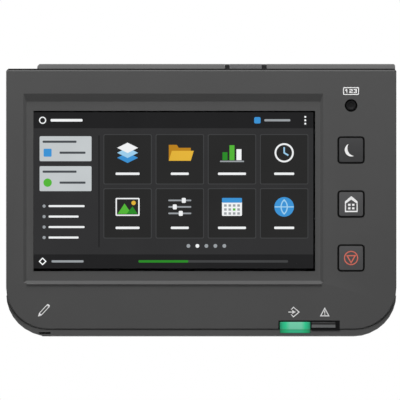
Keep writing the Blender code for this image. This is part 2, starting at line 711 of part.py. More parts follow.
def make_front_cover():
    """Moulded front cover: sunk screen field, ridge, key wells, bosses and the openings."""
    cover = loft(
        "front_cover",
        [
            (y_at(depth), panel_outline(inset, step=TOP_STEP))
            for depth, inset in (
                (0.0, EDGE_ROUND),
                (0.3 * EDGE_ROUND, 0.3 * EDGE_ROUND),
                (EDGE_ROUND, 0.0),
                (COVER_DEPTH, 0.0),
            )
        ],
    )
    hollow = loft(
        "front_cover_hollow",
        [
            (y_at(depth), panel_outline(COVER_WALL, step=TOP_STEP))
            for depth in (COVER_WALL, COVER_DEPTH + OVERSHOOT)
        ],
    )
    cut(hollow, field_loft("field_back", COVER_WALL, 0.0, FLOOR_BACK))
    cut(cover, hollow)

    ridge = flat(
        "field_ridge",
        "X",
        [
            [
                (y_at(SINK), z_at(FIELD_BOTTOM)),
                (y_at(0.0), z_at(FIELD_BOTTOM)),
                (y_at(-RIDGE_RISE), z_at(FIELD_BOTTOM + RIDGE_UPPER)),
                (y_at(0.0), z_at(FIELD_BOTTOM + RIDGE_UPPER + RIDGE_LOWER)),
                (y_at(SINK), z_at(FIELD_BOTTOM + RIDGE_UPPER + RIDGE_LOWER)),
            ]
        ],
        (x_at(MARGIN_LEFT + RIDGE_LEFT), x_at(FIELD_RIGHT - RIDGE_RIGHT)),
    )
    well_inner = KEY_SIZE + 2 * KEY_FLANGE + 2 * SEAT_GAP
    well_depth = (COVER_WALL - SINK, FLANGE_BACK + KEY_TRAVEL + WELL_WALL)
    wells = [
        panel_frame("key_well", KEY_X, from_top, well_inner, WELL_WALL, KEY_CORNER, well_depth)
        for from_top in (ENERGY_Z, HOME_Z, STOP_Z)
    ]
    ring_inner = COUNTER_RADIUS + COUNTER_WELL_GAP + KEY_GAP + SEAT_GAP
    ring = turned(
        "counter_well",
        "Y",
        (x_at(KEY_X), z_at(COUNTER_Z)),
        [
            (ring_inner + WELL_WALL, y_at(well_depth[0])),
            (ring_inner + WELL_WALL, y_at(well_depth[1])),
            (ring_inner, y_at(well_depth[1])),
            (ring_inner, y_at(well_depth[0])),
        ],
        SMALL_STEPS,
    )
    board_seat = (COVER_WALL - SINK, KEY_BOARD_FRONT - SEAT_GAP)
    board_bosses = [
        panel_rod("key_board_boss", *place, board_seat, KEY_BOSS_RADIUS) for place in key_board_bosses()
    ]
    chassis_seat = (COVER_WALL - SINK, CHASSIS_FRONT - SEAT_GAP)
    chassis_bosses = [
        panel_rod("chassis_boss", *place, chassis_seat, CHASSIS_BOSS_RADIUS)
        for place in side_places(CHASSIS_BOSS_SIDE)
    ]
    join(cover, ridge, *wells, ring, *board_bosses, *chassis_bosses)

    through = (y_at(-OVERSHOOT), y_at(COVER_WALL + OVERSHOOT))
    opening = KEY_SIZE + 2 * KEY_GAP
    key_cuts = [
        flat(
            "key_opening",
            "Y",
            [square_outline(x_at(KEY_X), z_at(from_top), opening, opening, KEY_CORNER + KEY_GAP)],
            through,
        )
        for from_top in (ENERGY_Z, HOME_Z, STOP_Z)
    ]
    counter_cut = rod(
        "counter_opening", "Y", (x_at(KEY_X), z_at(COUNTER_Z)), through, COUNTER_RADIUS + COUNTER_WELL_GAP
    )
    field = field_loft("field", 0.0, 0.0, FIELD_DEPTH)
    mouth = panel_box(
        "field_mouth",
        (MARGIN_LEFT, FIELD_RIGHT),
        (-OVERSHOOT, 0.0),
        (MARGIN_TOP, FIELD_BOTTOM),
    )
    window = panel_box(
        "window",
        (WINDOW_LEFT, WINDOW_RIGHT),
        (FIELD_DEPTH - SINK, FLOOR_BACK + OVERSHOOT),
        (WINDOW_TOP, WINDOW_BOTTOM),
    )
    notch = panel_box(
        "indicator_notch",
        (INDICATOR_LEFT - LENS_GAP, INDICATOR_RIGHT + LENS_GAP),
        (-OVERSHOOT, KEY_BOARD_FRONT),
        (INDICATOR_TOP - LENS_GAP, PANEL_HEIGHT + OVERSHOOT),
    )
    join(field, mouth)
    cut(cover, field, window, *key_cuts, counter_cut, notch)
    paint(CASE_PLASTIC, cover)
    return cover


def make_rear_cover():
    """Moulded rear cover: lofted tub with its lip, hinge barrel, arm notch, bosses, louvres and pen hole."""
    soft = HOUSING_ROUND
    cover = loft(
        "rear_cover",
        [
            (y_at(depth), panel_outline(inset, chin_drop(depth)))
            for depth, inset in (
                (CHIN_DEPTH, 0.0),
                (HOUSING_DEPTH - soft, 0.0),
                (HOUSING_DEPTH - 0.4 * soft, 0.3 * soft),
                (HOUSING_DEPTH, soft),
            )
        ],
    )
    barrel_ends = (x_at(BARREL_LEFT), x_at(PANEL_WIDTH - BARREL_RIGHT))
    barrel = turned(
        "barrel",
        "X",
        (AXIS_Y, AXIS_Z),
        [
            (0.0, barrel_ends[1]),
            (BARREL_RADIUS - BARREL_RIGHT_ROUND, barrel_ends[1]),
            (BARREL_RADIUS, barrel_ends[1] - BARREL_RIGHT_ROUND),
            (BARREL_RADIUS, barrel_ends[0] + BARREL_END_ROUND),
            (BARREL_RADIUS - BARREL_END_ROUND, barrel_ends[0]),
            (0.0, barrel_ends[0]),
        ],
        ROUND_STEPS,
    )
    join(cover, barrel)

    hollow = loft(
        "rear_hollow",
        [
            (y_at(depth), panel_outline(COVER_WALL + inset, chin_drop(depth)))
            for depth, inset in (
                (CHIN_DEPTH + CHIN_WALL, 0.0),
                (HOUSING_DEPTH - soft, 0.0),
                (REAR_INSIDE - 0.3 * soft, 0.3 * soft),
                (REAR_INSIDE, soft),
            )
        ],
    )
    barrel_hollow = rod(
        "barrel_hollow",
        "X",
        (AXIS_Y, AXIS_Z),
        (barrel_ends[0] + COVER_WALL, barrel_ends[1] - COVER_WALL),
        BARREL_RADIUS - COVER_WALL,
    )
    notch_radius = BARREL_RADIUS + NOTCH_GAP
    block_ends = (-NOTCH_WALL, NOTCH_WALL)
    notch_block = rod("notch_block", "X", (AXIS_Y, AXIS_Z), block_ends, notch_radius + COVER_WALL)
    join(hollow, barrel_hollow)
    cut(hollow, notch_block)
    cut(cover, hollow)

    bosses = [
        panel_rod("rear_boss", *place, (CHASSIS_BACK + SEAT_GAP, HOUSING_DEPTH - SINK), REAR_BOSS_RADIUS)
        for place in side_places(REAR_BOSS_SIDE)
    ]
    pen_rib = panel_box(
        "pen_rib",
        (PEN_FROM_LEFT - PEN_RIB_THICK / 2, PEN_FROM_LEFT + PEN_RIB_THICK / 2),
        (PEN_DEPTH + PEN_TUBE_RADIUS + SEAT_GAP, REAR_INSIDE + SINK),
        (PANEL_HEIGHT - PEN_LENGTH + PEN_NIB, PANEL_HEIGHT - PEN_LENGTH + PEN_NIB + PEN_RIB_HEIGHT),
    )
    join(cover, *bosses, pen_rib)

    chin_top = CHIN_REACH * LOW_CORNER
    above_chin = panel_box(
        "front_cover_room",
        (-OVERSHOOT, PANEL_WIDTH + OVERSHOOT),
        (CHIN_DEPTH - OVERSHOOT, REAR_FRONT),
        (-OVERSHOOT, PANEL_HEIGHT - chin_top),
    )
    seam_room = loft(
        "seam_room",
        [
            (y_at(depth), [(x, z - SEAM_GAP) for x, z in panel_outline()])
            for depth in (CHIN_DEPTH - OVERSHOOT, REAR_FRONT)
        ],
    )
    lean_head = PANEL_HEIGHT - chin_top - OVERSHOOT
    lean_room = flat(
        "lean_room",
        "X",
        [
            [
                (y_at(lip_depth(LEAN_FOOT)), z_at(LEAN_FOOT)),
                (y_at(lip_depth(lean_head)), z_at(lean_head)),
                (y_at(CHIN_DEPTH - OVERSHOOT), z_at(lean_head)),
                (y_at(CHIN_DEPTH - OVERSHOOT), z_at(LEAN_FOOT)),
            ]
        ],
        (x_at(-OVERSHOOT), x_at(PANEL_WIDTH + OVERSHOOT)),
    )
    apron_room = panel_box(
        "apron_room",
        (DATA_LENS_LEFT - LENS_GAP, DATA_LENS_LEFT + DATA_LENS_WIDTH + LENS_GAP),
        (CHIN_DEPTH - OVERSHOOT, LENS_APRON_DEPTH + SEAT_GAP),
        (PANEL_HEIGHT, PANEL_HEIGHT + LENS_APRON + LENS_GAP),
    )
    cut(cover, above_chin, seam_room, lean_room, apron_room)

    bead_ends = (x_at(HIGH_CORNER), x_at(PANEL_WIDTH - HIGH_CORNER))
    bead = flat(
        "top_bead",
        "X",
        [
            [
                (y_at(REAR_FRONT), z_at(SINK)),
                (y_at(REAR_FRONT), z_at(-BEAD_RISE)),
                (y_at(REAR_FRONT + BEAD_WIDTH), z_at(-BEAD_RISE)),
                (y_at(REAR_FRONT + 2 * BEAD_WIDTH), z_at(SINK)),
            ]
        ],
        bead_ends,
    )
    join(cover, bead)
    bead_room = flat(
        "bead_room",
        "X",
        [
            [
                (y_at(REAR_FRONT - OVERSHOOT), z_at(-BEAD_RISE - OVERSHOOT)),
                (y_at(REAR_FRONT + BEAD_LAND - BEAD_LEAN * OVERSHOOT), z_at(-BEAD_RISE - OVERSHOOT)),
                (y_at(REAR_FRONT + BEAD_LAND + BEAD_LEAN * (BEAD_RISE + BEAD_ROOT)), z_at(BEAD_ROOT)),
                (y_at(REAR_FRONT - OVERSHOOT), z_at(BEAD_ROOT)),
            ]
        ],
        (x_at(-OVERSHOOT), x_at(PANEL_WIDTH + OVERSHOOT)),
    )
    cut(cover, bead_room)

    far_back = AXIS_Y + 3 * BARREL_RADIUS
    above = AXIS_Z + 2 * BARREL_RADIUS
    below = AXIS_Z - NECK_HEIGHT / 2 - 1.5 * NOTCH_GAP
    notch_ends = (-NOTCH_HALF, NOTCH_HALF)
    notch_round = rod("notch_round", "X", (AXIS_Y, AXIS_Z), notch_ends, notch_radius)
    notch_top = box("notch_top", notch_ends, (AXIS_Y - notch_radius, far_back), (AXIS_Z, above))
    notch_back = box("notch_back", notch_ends, (AXIS_Y, far_back), (below, above))
    shaft_hole = rod("shaft_hole", "X", (AXIS_Y, AXIS_Z), (-LEAF_INNER, LEAF_INNER), SHAFT_RADIUS + SEAT_GAP)
    cut(cover, notch_round, notch_top, notch_back, shaft_hole)

    for place in side_places(REAR_BOSS_SIDE):
        counterbore = panel_rod(
            "screw_counterbore",
            *place,
            (HOUSING_DEPTH - REAR_SCREW_SINK, HOUSING_DEPTH + OVERSHOOT),
            REAR_SCREW_HEAD_RADIUS + SCREW_HOLE_GAP,
        )
        hole_range = (CHASSIS_BACK - OVERSHOOT, HOUSING_DEPTH)
        hole = panel_rod("screw_hole", *place, hole_range, REAR_SCREW_RADIUS + SCREW_HOLE_GAP)
        cut(cover, counterbore, hole)

    louvre_x = SCREEN_MIDDLE_X + MAIN_BOARD_WIDTH / 2 - LOUVRE_LENGTH
    for index in range(LOUVRE_COUNT):
        from_top = SCREEN_MIDDLE_Z + (index - (LOUVRE_COUNT - 1) / 2) * LOUVRE_PITCH
        louvre = panel_box(
            "louvre",
            (louvre_x, louvre_x + LOUVRE_LENGTH),
            (REAR_INSIDE - OVERSHOOT, HOUSING_DEPTH + OVERSHOOT),
            (from_top - LOUVRE_WIDTH / 2, from_top + LOUVRE_WIDTH / 2),
        )
        cut(cover, louvre)

    pen_hole = rod(
        "pen_hole",
        "Z",
        pen_centre(),
        (SEAM_Z - CHIN_DROP_BACK - OVERSHOOT, SEAM_Z + COVER_WALL),
        PEN_TUBE_BORE,
    )
    channel_front = y_at(CHIN_DEPTH + CHIN_WALL)
    channel_back = y_at(PEN_DEPTH)
    nail_channel = flat(
        "nail_channel",
        "Z",
        [
            square_outline(
                x_at(PEN_FROM_LEFT),
                (channel_front + channel_back) / 2,
                NAIL_SLOT_WIDTH,
                channel_back - channel_front,
                NAIL_SLOT_WIDTH / 3,
            )
        ],
        (SEAM_Z - CHIN_DROP_BACK - OVERSHOOT, SEAM_Z - SEAM_GAP / 2),
    )
    nail_slot = panel_box(
        "nail_slot",
        (PEN_FROM_LEFT - NAIL_SLOT_WIDTH / 2, PEN_FROM_LEFT + NAIL_SLOT_WIDTH / 2),
        (CHIN_DEPTH - OVERSHOOT, CHIN_DEPTH + CHIN_WALL + SEAT_GAP),
        (PANEL_HEIGHT + NAIL_SLOT_TOP, PANEL_HEIGHT + NAIL_SLOT_TOP + NAIL_SLOT_HEIGHT),
    )
    cut(cover, pen_hole, nail_channel, nail_slot)
    paint(CASE_PLASTIC, cover)
    return cover


def screen_outline(margin):
    x_range, z_range = panel_range(
        (WINDOW_LEFT - margin, WINDOW_RIGHT + margin), (WINDOW_TOP - margin, WINDOW_BOTTOM + margin)
    )
    return rounded_outline(*x_range, *z_range, EDGE_ROUND, EDGE_ROUND, 2)


def screen_plate(name, margins, front, thickness):
    """Plate or ring round the screen's window, from its outer margin to an inner one."""
    outlines = [screen_outline(margin) for margin in margins]
    return flat(name, "Y", outlines, (y_at(front), y_at(front + thickness)))


def make_screen():
    """Gasket, touch glass and the display module in its tray."""
    gasket = screen_plate("screen_gasket", (GLASS_MARGIN, GASKET_REVEAL), GASKET_FRONT, GASKET_THICK)
    glass = screen_plate("touch_glass", (GLASS_MARGIN,), GLASS_FRONT, GLASS_THICK)
    inside = TRAY_MARGIN - TRAY_WALL
    cell = screen_plate("lcd_cell", (inside - SEAT_GAP,), TRAY_FRONT, CELL_THICK)
    backlight = screen_plate("lcd_backlight", (inside - SEAT_GAP,), BACKLIGHT_FRONT, BACKLIGHT_THICK)
    tray = screen_plate("lcd_tray", (TRAY_MARGIN,), TRAY_FRONT, TRAY_BACK - TRAY_FRONT)
    pocket = screen_plate(
        "tray_pocket", (inside,), TRAY_FRONT - OVERSHOOT, TRAY_POCKET - TRAY_FRONT + OVERSHOOT
    )
    cut(tray, pocket)
    paint(FOAM, gasket)
    paint(GLASS, glass)
    paint(CELL, cell)
    paint(DIFFUSER, backlight)
    paint(STEEL, tray)
    return [gasket, glass, cell, backlight, tray]


def main_board_ends():
    """Left, right, top and bottom of the main board on the panel."""
    middle = SCREEN_MIDDLE_Z + MAIN_BOARD_DROP
    return (
        SCREEN_MIDDLE_X - MAIN_BOARD_WIDTH / 2,
        SCREEN_MIDDLE_X + MAIN_BOARD_WIDTH / 2,
        middle - MAIN_BOARD_HEIGHT / 2,
        middle + MAIN_BOARD_HEIGHT / 2,
    )


def lcd_cable_drop():
    """Height at which the screen's cable passes the chassis plate, below the main board."""
    return main_board_ends()[3] + 2 * CABLE_BEND + CABLE_SLOT_GAP


def key_cable_side():
    """Place at which the key board's cable passes the chassis plate, right of the display module."""
    return (WINDOW_RIGHT + TRAY_MARGIN + KEY_X - KEY_BOARD_WIDTH / 2) / 2


def make_chassis():
    """Steel plate that carries the screen, the main board and the hinge leaves."""
    top, bottom = chassis_ends()
    x_range, z_range = panel_range((CHASSIS_SIDE, PANEL_WIDTH - CHASSIS_SIDE), (top, bottom))
    outlines = [rounded_outline(*x_range, *z_range, CHASSIS_SIDE, CHASSIS_SIDE, 3)]
    slots = (
        (SCREEN_MIDDLE_X, lcd_cable_drop(), LCD_CABLE_WIDTH + 2 * CABLE_SLOT_GAP, 2 * CABLE_SLOT_GAP),
        (key_cable_side(), HOME_Z, 2 * CABLE_SLOT_GAP, KEY_CABLE_WIDTH + 2 * CABLE_SLOT_GAP),
    )
    for from_left, from_top, width, height in slots:
        outlines.append(square_outline(x_at(from_left), z_at(from_top), width, height, CABLE_SLOT_GAP / 2, 2))
    plate = flat("chassis_plate", "Y", outlines, (y_at(CHASSIS_FRONT), y_at(CHASSIS_BACK)))
    left, right, high, low = main_board_ends()
    for from_left in (left + STANDOFF_INSET, right - STANDOFF_INSET):
        for from_top in (high + STANDOFF_INSET, low - STANDOFF_INSET):
            depth_range = (CHASSIS_BACK - CHASSIS_THICK / 2, CHASSIS_BACK + STANDOFF)
            join(plate, panel_rod("standoff", from_left, from_top, depth_range, STANDOFF_RADIUS))
    for place in side_places(REAR_BOSS_SIDE):
        hole_range = (CHASSIS_FRONT - OVERSHOOT, CHASSIS_BACK + OVERSHOOT)
        cut(plate, panel_rod("chassis_hole", *place, hole_range, REAR_SCREW_RADIUS + SCREW_HOLE_GAP))
    paint(STEEL, plate)
    return plate


def make_main_board():
    """Main board with what it carries on its rear side."""
    left, right, top, bottom = main_board_ends()
    x_range, z_range = panel_range((left, right), (top, bottom))
    outline = rounded_outline(*x_range, *z_range, EDGE_ROUND, EDGE_ROUND, 2)
    board = flat("main_board", "Y", [outline], (y_at(MAIN_BOARD_FRONT), y_at(MAIN_BOARD_BACK)))
    middle = (top + bottom) / 2
    processor = panel_box(
        "processor_chip",
        (SCREEN_MIDDLE_X - PROCESSOR_SIZE / 2, SCREEN_MIDDLE_X + PROCESSOR_SIZE / 2),
        (CHIP_FRONT, CHIP_FRONT + PROCESSOR_THICK),
        (middle - PROCESSOR_SIZE / 2, middle + PROCESSOR_SIZE / 2),
    )
    memory_left = SCREEN_MIDDLE_X + PROCESSOR_SIZE / 2 + CHIP_SPACING
    memory = panel_box(
        "memory_chip",
        (memory_left, memory_left + MEMORY_WIDTH),
        (CHIP_FRONT, CHIP_FRONT + MEMORY_THICK),
        (middle - MEMORY_HEIGHT / 2, middle + MEMORY_HEIGHT / 2),
    )
    buzzer = panel_rod(
        "buzzer",
        left + BUZZER_INSET,
        middle,
        (CHIP_FRONT, CHIP_FRONT + BUZZER_THICK),
        BUZZER_RADIUS,
    )
    lcd_half = LCD_CABLE_WIDTH / 2 + CONNECTOR_SIDE
    lcd_connector = panel_box(
        "lcd_connector",
        (SCREEN_MIDDLE_X - lcd_half, SCREEN_MIDDLE_X + lcd_half),
        (CHIP_FRONT, CHIP_FRONT + CONNECTOR_THICK),
        (bottom - CONNECTOR_DEPTH, bottom),
    )
    key_half = KEY_CABLE_WIDTH / 2 + CONNECTOR_SIDE
    key_connector = panel_box(
        "key_connector",
        (right - CONNECTOR_DEPTH, right),
        (CHIP_FRONT, CHIP_FRONT + CONNECTOR_THICK),
        (HOME_Z - key_half, HOME_Z + key_half),
    )
    paint(CIRCUIT_BOARD, board)
    paint(CHIP, processor, memory)
    paint(BLACK_PLASTIC, buzzer)
    paint(CONNECTOR, lcd_connector, key_connector)
    return [board, processor, memory, buzzer, lcd_connector, key_connector]


def make_cables():
    """Flat cables from the display module and the key board to the main board."""
    board_right, board_bottom = main_board_ends()[1], main_board_ends()[3]
    connector_depth = CHIP_FRONT + CONNECTOR_THICK / 2
    drop = lcd_cable_drop()
    lcd_path = [
        (TRAY_BACK + SEAT_GAP, drop),
        (connector_depth - CABLE_BEND, drop),
        (connector_depth - 0.3 * CABLE_BEND, drop - 0.3 * CABLE_BEND),
        (connector_depth, drop - CABLE_BEND),
        (connector_depth, board_bottom + SEAT_GAP),
    ]
    lcd_half = LCD_CABLE_WIDTH / 2
    lcd_cable = ribbon(
        "lcd_cable",
        [(y_at(depth), z_at(from_top)) for depth, from_top in lcd_path],
        "X",
        (x_at(SCREEN_MIDDLE_X - lcd_half), x_at(SCREEN_MIDDLE_X + lcd_half)),
        CABLE_THICK,
    )
    side = key_cable_side()
    key_depth = KEY_BOARD_BACK + SEAT_GAP + CONNECTOR_THICK / 2
    key_path = [
        (key_connector_left() - SEAT_GAP, key_depth),
        (side + 0.6 * CABLE_BEND, key_depth),
        (side, key_depth + 0.6 * CABLE_BEND),
        (side, connector_depth - CABLE_BEND),
        (side - 0.3 * CABLE_BEND, connector_depth - 0.3 * CABLE_BEND),
        (side - CABLE_BEND, connector_depth),
        (board_right + SEAT_GAP, connector_depth),
    ]
    key_half = KEY_CABLE_WIDTH / 2
    key_cable = ribbon(
        "key_cable",
        [(x_at(from_left), y_at(depth)) for from_left, depth in key_path],
        "Z",
        (z_at(HOME_Z + key_half), z_at(HOME_Z - key_half)),
        CABLE_THICK,
    )
    paint(CABLE, lcd_cable, key_cable)
    return [lcd_cable, key_cable]


def key_connector_left():
    """Left side of the connector on the back of the key board."""
    return KEY_X - KEY_BOARD_WIDTH / 2 + CONNECTOR_SIDE


def make_key_board():
    """Board behind the keys and the indicator bar, with its connector, switch housings and LEDs."""
    half = KEY_BOARD_WIDTH / 2
    bottom = PANEL_HEIGHT - COVER_WALL - FRAME_FLANGE
    left, right = x_at(KEY_X - half), x_at(KEY_X + half)
    foot_left = x_at(INDICATOR_LEFT - FRAME_FLANGE)
    outline = [
        (foot_left, z_at(bottom)),
        (right, z_at(bottom)),
        (right, z_at(COUNTER_Z - half)),
        (left, z_at(COUNTER_Z - half)),
        (left, z_at(bottom - KEY_BOARD_FOOT)),
        (foot_left, z_at(bottom - KEY_BOARD_FOOT)),
    ]
    board = flat("key_board", "Y", [outline], (y_at(KEY_BOARD_FRONT), y_at(KEY_BOARD_BACK)))
    key_half = KEY_CABLE_WIDTH / 2 + CONNECTOR_SIDE
    connector = panel_box(
        "key_board_connector",
        (key_connector_left(), key_connector_left() + CONNECTOR_DEPTH),
        (KEY_BOARD_BACK + SEAT_GAP, KEY_BOARD_BACK + SEAT_GAP + CONNECTOR_THICK),
        (HOME_Z - key_half, HOME_Z + key_half),
    )
    leds = []
    lamps = (("data_led", DATA_LENS_LEFT, DATA_LENS_WIDTH), ("error_led", ERROR_LENS_LEFT, ERROR_LENS_WIDTH))
    led_top = LENS_TOP + LENS_GAP
    for name, lens_left, lens_width in lamps:
        middle = lens_left + lens_width / 2
        leds.append(
            panel_box(
                name,
                (middle - LED_WIDTH / 2, middle + LED_WIDTH / 2),
                (LED_FRONT, LED_FRONT + LED_THICK),
                (led_top, led_top + LED_HEIGHT),
            )
        )
    switches = []
    for name, from_top in key_places():
        switch = panel_box(
            name + "_switch",
            (KEY_X - SWITCH_SIZE / 2, KEY_X + SWITCH_SIZE / 2),
            (SWITCH_FRONT, SWITCH_FRONT + SWITCH_HEIGHT),
            (from_top - SWITCH_SIZE / 2, from_top + SWITCH_SIZE / 2),
        )
        bore_range = (SWITCH_FRONT - OVERSHOOT, SWITCH_FRONT + SWITCH_HEIGHT - SWITCH_FLOOR)
        cut(switch, panel_rod("switch_bore", KEY_X, from_top, bore_range, PLUNGER_RADIUS + SEAT_GAP))
        switches.append(switch)
    paint(CIRCUIT_BOARD, board)
    paint(CONNECTOR, connector)
    paint(LED_RESIN, *leds)
    paint(BLACK_PLASTIC, *switches)
    return [board, connector, *leds, *switches]


def key_places():
    """Each key's name and its place from the panel's top edge."""
    return (("energy", ENERGY_Z), ("home", HOME_Z), ("stop", STOP_Z), ("counter", COUNTER_Z))


def make_square_key(name, from_top, finish):
    """Key cap with a chamfered face, a flange that stays behind the cover, and a stem."""
    centre = (x_at(KEY_X), z_at(from_top))
    face = KEY_SIZE - 2 * KEY_CHAMFER
    side = square_outline(*centre, KEY_SIZE, KEY_SIZE, KEY_CORNER)
    cap = loft(
        name + "_key",
        [
            (y_at(-KEY_RISE), square_outline(*centre, face, face, KEY_CORNER - KEY_CHAMFER)),
            (y_at(KEY_CHAMFER - KEY_RISE), side),
            (y_at(FLANGE_FRONT + SINK), side),
        ],
    )
    wide = KEY_SIZE + 2 * KEY_FLANGE
    flange = flat(
        "key_flange",
        "Y",
        [square_outline(*centre, wide, wide, KEY_CORNER)],
        (y_at(FLANGE_FRONT), y_at(FLANGE_BACK)),
    )
    stem = panel_rod("key_stem", KEY_X, from_top, (FLANGE_BACK - SINK, STEM_END), KEY_STEM_RADIUS)
    join(cap, flange, stem)
    paint(finish, cap)
    return cap


def make_counter_key():
    """Small round key, sunk in its well, with a dished face."""
    flange_radius = COUNTER_RADIUS + COUNTER_WELL_GAP + KEY_GAP
    key = turned(
        "counter_key",
        "Y",
        (x_at(KEY_X), z_at(COUNTER_Z)),
        [
            (0.0, y_at(COUNTER_SINK + COUNTER_DISH)),
            (0.4 * COUNTER_RADIUS, y_at(COUNTER_SINK + COUNTER_DISH)),
            (0.7 * COUNTER_RADIUS, y_at(COUNTER_SINK)),
            (COUNTER_RADIUS - KEY_CHAMFER, y_at(COUNTER_SINK)),
            (COUNTER_RADIUS, y_at(COUNTER_SINK + KEY_CHAMFER)),
            (COUNTER_RADIUS, y_at(FLANGE_FRONT)),
            (flange_radius, y_at(FLANGE_FRONT)),
            (flange_radius, y_at(FLANGE_BACK)),
            (KEY_STEM_RADIUS, y_at(FLANGE_BACK)),
            (KEY_STEM_RADIUS, y_at(STEM_END)),
            (0.0, y_at(STEM_END)),
        ],
        SMALL_STEPS,
    )
    paint(BLACK_PLASTIC, key)
    return key


def make_keys():
    """The four keys, each with the switch plunger that it pushes, on an empty at its place."""
    finishes = {"energy": DARK_KEY_PLASTIC, "home": KEY_PLASTIC, "stop": KEY_PLASTIC}
    travels = []
    for name, from_top in key_places():
        key = make_square_key(name, from_top, finishes[name]) if name in finishes else make_counter_key()
        plunger_range = (PLUNGER_FRONT, PLUNGER_FRONT + PLUNGER_LENGTH)
        plunger = panel_rod(name + "_plunger", KEY_X, from_top, plunger_range, PLUNGER_RADIUS)
        paint(BLACK_PLASTIC, plunger)
        travel = pivot(name + "_travel", (x_at(KEY_X), y_at(0.0), z_at(from_top)))
        carry(travel, key, plunger)
        travels.append(travel)
    return travels


def make_indicator():
    """Black frame in the cover's lower edge with the data lens and the error lens."""
    frame_bottom = PANEL_HEIGHT - SEAT_GAP
    frame_back = KEY_BOARD_FRONT - SEAT_GAP
    frame = panel_box(
        "indicator_frame",
        (INDICATOR_LEFT, INDICATOR_RIGHT),
        (FRAME_SINK, frame_back),
        (INDICATOR_TOP, frame_bottom),
    )
    flange = panel_box(
        "frame_flange",
        (INDICATOR_LEFT - FRAME_FLANGE, INDICATOR_RIGHT + FRAME_FLANGE),
        (FLANGE_FRONT, FLANGE_FRONT + FRAME_FLANGE_THICK),
        (INDICATOR_TOP - FRAME_FLANGE, PANEL_HEIGHT - COVER_WALL - SEAT_GAP),
    )
    join(frame, flange)
    sill_top = frame_bottom - FRAME_SILL
    data_right = DATA_LENS_LEFT + DATA_LENS_WIDTH
    error_right = ERROR_LENS_LEFT + ERROR_LENS_WIDTH
    past = (FRAME_SINK - OVERSHOOT, frame_back + OVERSHOOT)
    data_pocket = panel_box(
        "data_pocket",
        (DATA_LENS_LEFT - LENS_GAP, data_right + LENS_GAP),
        past,
        (LENS_TOP - LENS_GAP, frame_bottom + OVERSHOOT),
    )
    error_pocket = panel_box(
        "error_pocket",
        (ERROR_LENS_LEFT - LENS_GAP, error_right + LENS_GAP),
        past,
        (LENS_TOP - LENS_GAP, sill_top),
    )
    cut(frame, data_pocket, error_pocket)
    data_lens = panel_box(
        "data_lens", (DATA_LENS_LEFT, data_right), (-LENS_RISE, LENS_BACK), (LENS_TOP, PANEL_HEIGHT)
    )
    apron = panel_box(
        "lens_apron",
        (DATA_LENS_LEFT, data_right),
        (-LENS_RISE, LENS_APRON_DEPTH),
        (LENS_TOP + SINK, PANEL_HEIGHT + LENS_APRON),
    )
    join(data_lens, apron)
    bend_top, bend_foot = PANEL_HEIGHT - LENS_BEND, PANEL_HEIGHT + SEAM_GAP
    bend_slope = (bend_foot - bend_top) / (lip_depth(bend_foot) + LENS_RISE)
    bend_room = flat(
        "bend_room",
        "X",
        [
            [
                (y_at(-OVERSHOOT), z_at(bend_top - bend_slope * (OVERSHOOT - LENS_RISE))),
                (y_at(lip_depth(bend_foot)), z_at(bend_foot)),
                (y_at(lip_depth(LEAN_FOOT)), z_at(LEAN_FOOT)),
                (y_at(-OVERSHOOT), z_at(LEAN_FOOT)),
            ]
        ],
        (x_at(DATA_LENS_LEFT - OVERSHOOT), x_at(data_right + OVERSHOOT)),
    )
    cut(data_lens, bend_room)
    error_lens = panel_box(
        "error_lens", (ERROR_LENS_LEFT, error_right), (0.0, LENS_BACK), (LENS_TOP, sill_top - LENS_GAP)
    )
    paint(BLACK_PLASTIC, frame)
    paint(GREEN_LENS, data_lens)
    paint(SMOKED_LENS, error_lens)
    return [frame, data_lens, error_lens]


def make_leaf(name, side):
    """Steel leaf: a foot on the chassis plate and a web up to its eye on the shaft. side is 1 or -1."""
    inner, outer = sorted((side * LEAF_INNER, side * LEAF_OUTER))
    foot_ends = sorted((side * LEAF_INNER, side * (LEAF_INNER + LEAF_FOOT_WIDTH)))
    foot_front = CHASSIS_BACK + SEAT_GAP
    foot_top = z_at(CHASSIS_TOP + LEAF_FOOT_TOP)
    foot_bottom = foot_top - LEAF_FOOT_HEIGHT
    leaf = box(
        name,
        foot_ends,
        (y_at(foot_front), y_at(foot_front + LEAF_FOOT_THICK)),
        (foot_bottom, foot_top),
    )
    web = flat(
        "leaf_web",
        "X",
        [
            [
                (y_at(foot_front), foot_bottom),
                (y_at(foot_front + LEAF_FOOT_THICK + LEAF_WEB_TOE), foot_bottom),
                (AXIS_Y + 0.6 * LEAF_EYE, AXIS_Z - 0.65 * LEAF_EYE),
                (AXIS_Y - 0.75 * LEAF_EYE, AXIS_Z),
                (y_at(foot_front), foot_top),
            ]
        ],
        (inner, outer),
    )
    eye = rod("leaf_eye", "X", (AXIS_Y, AXIS_Z), (inner, outer), LEAF_EYE)
    join(leaf, web, eye)
    cut(
        leaf,
        rod(
            "leaf_bore",
            "X",
            (AXIS_Y, AXIS_Z),
            (inner - OVERSHOOT, outer + OVERSHOOT),
            SHAFT_RADIUS + SEAT_GAP,
        ),
    )
    paint(STEEL, leaf)
    return leaf


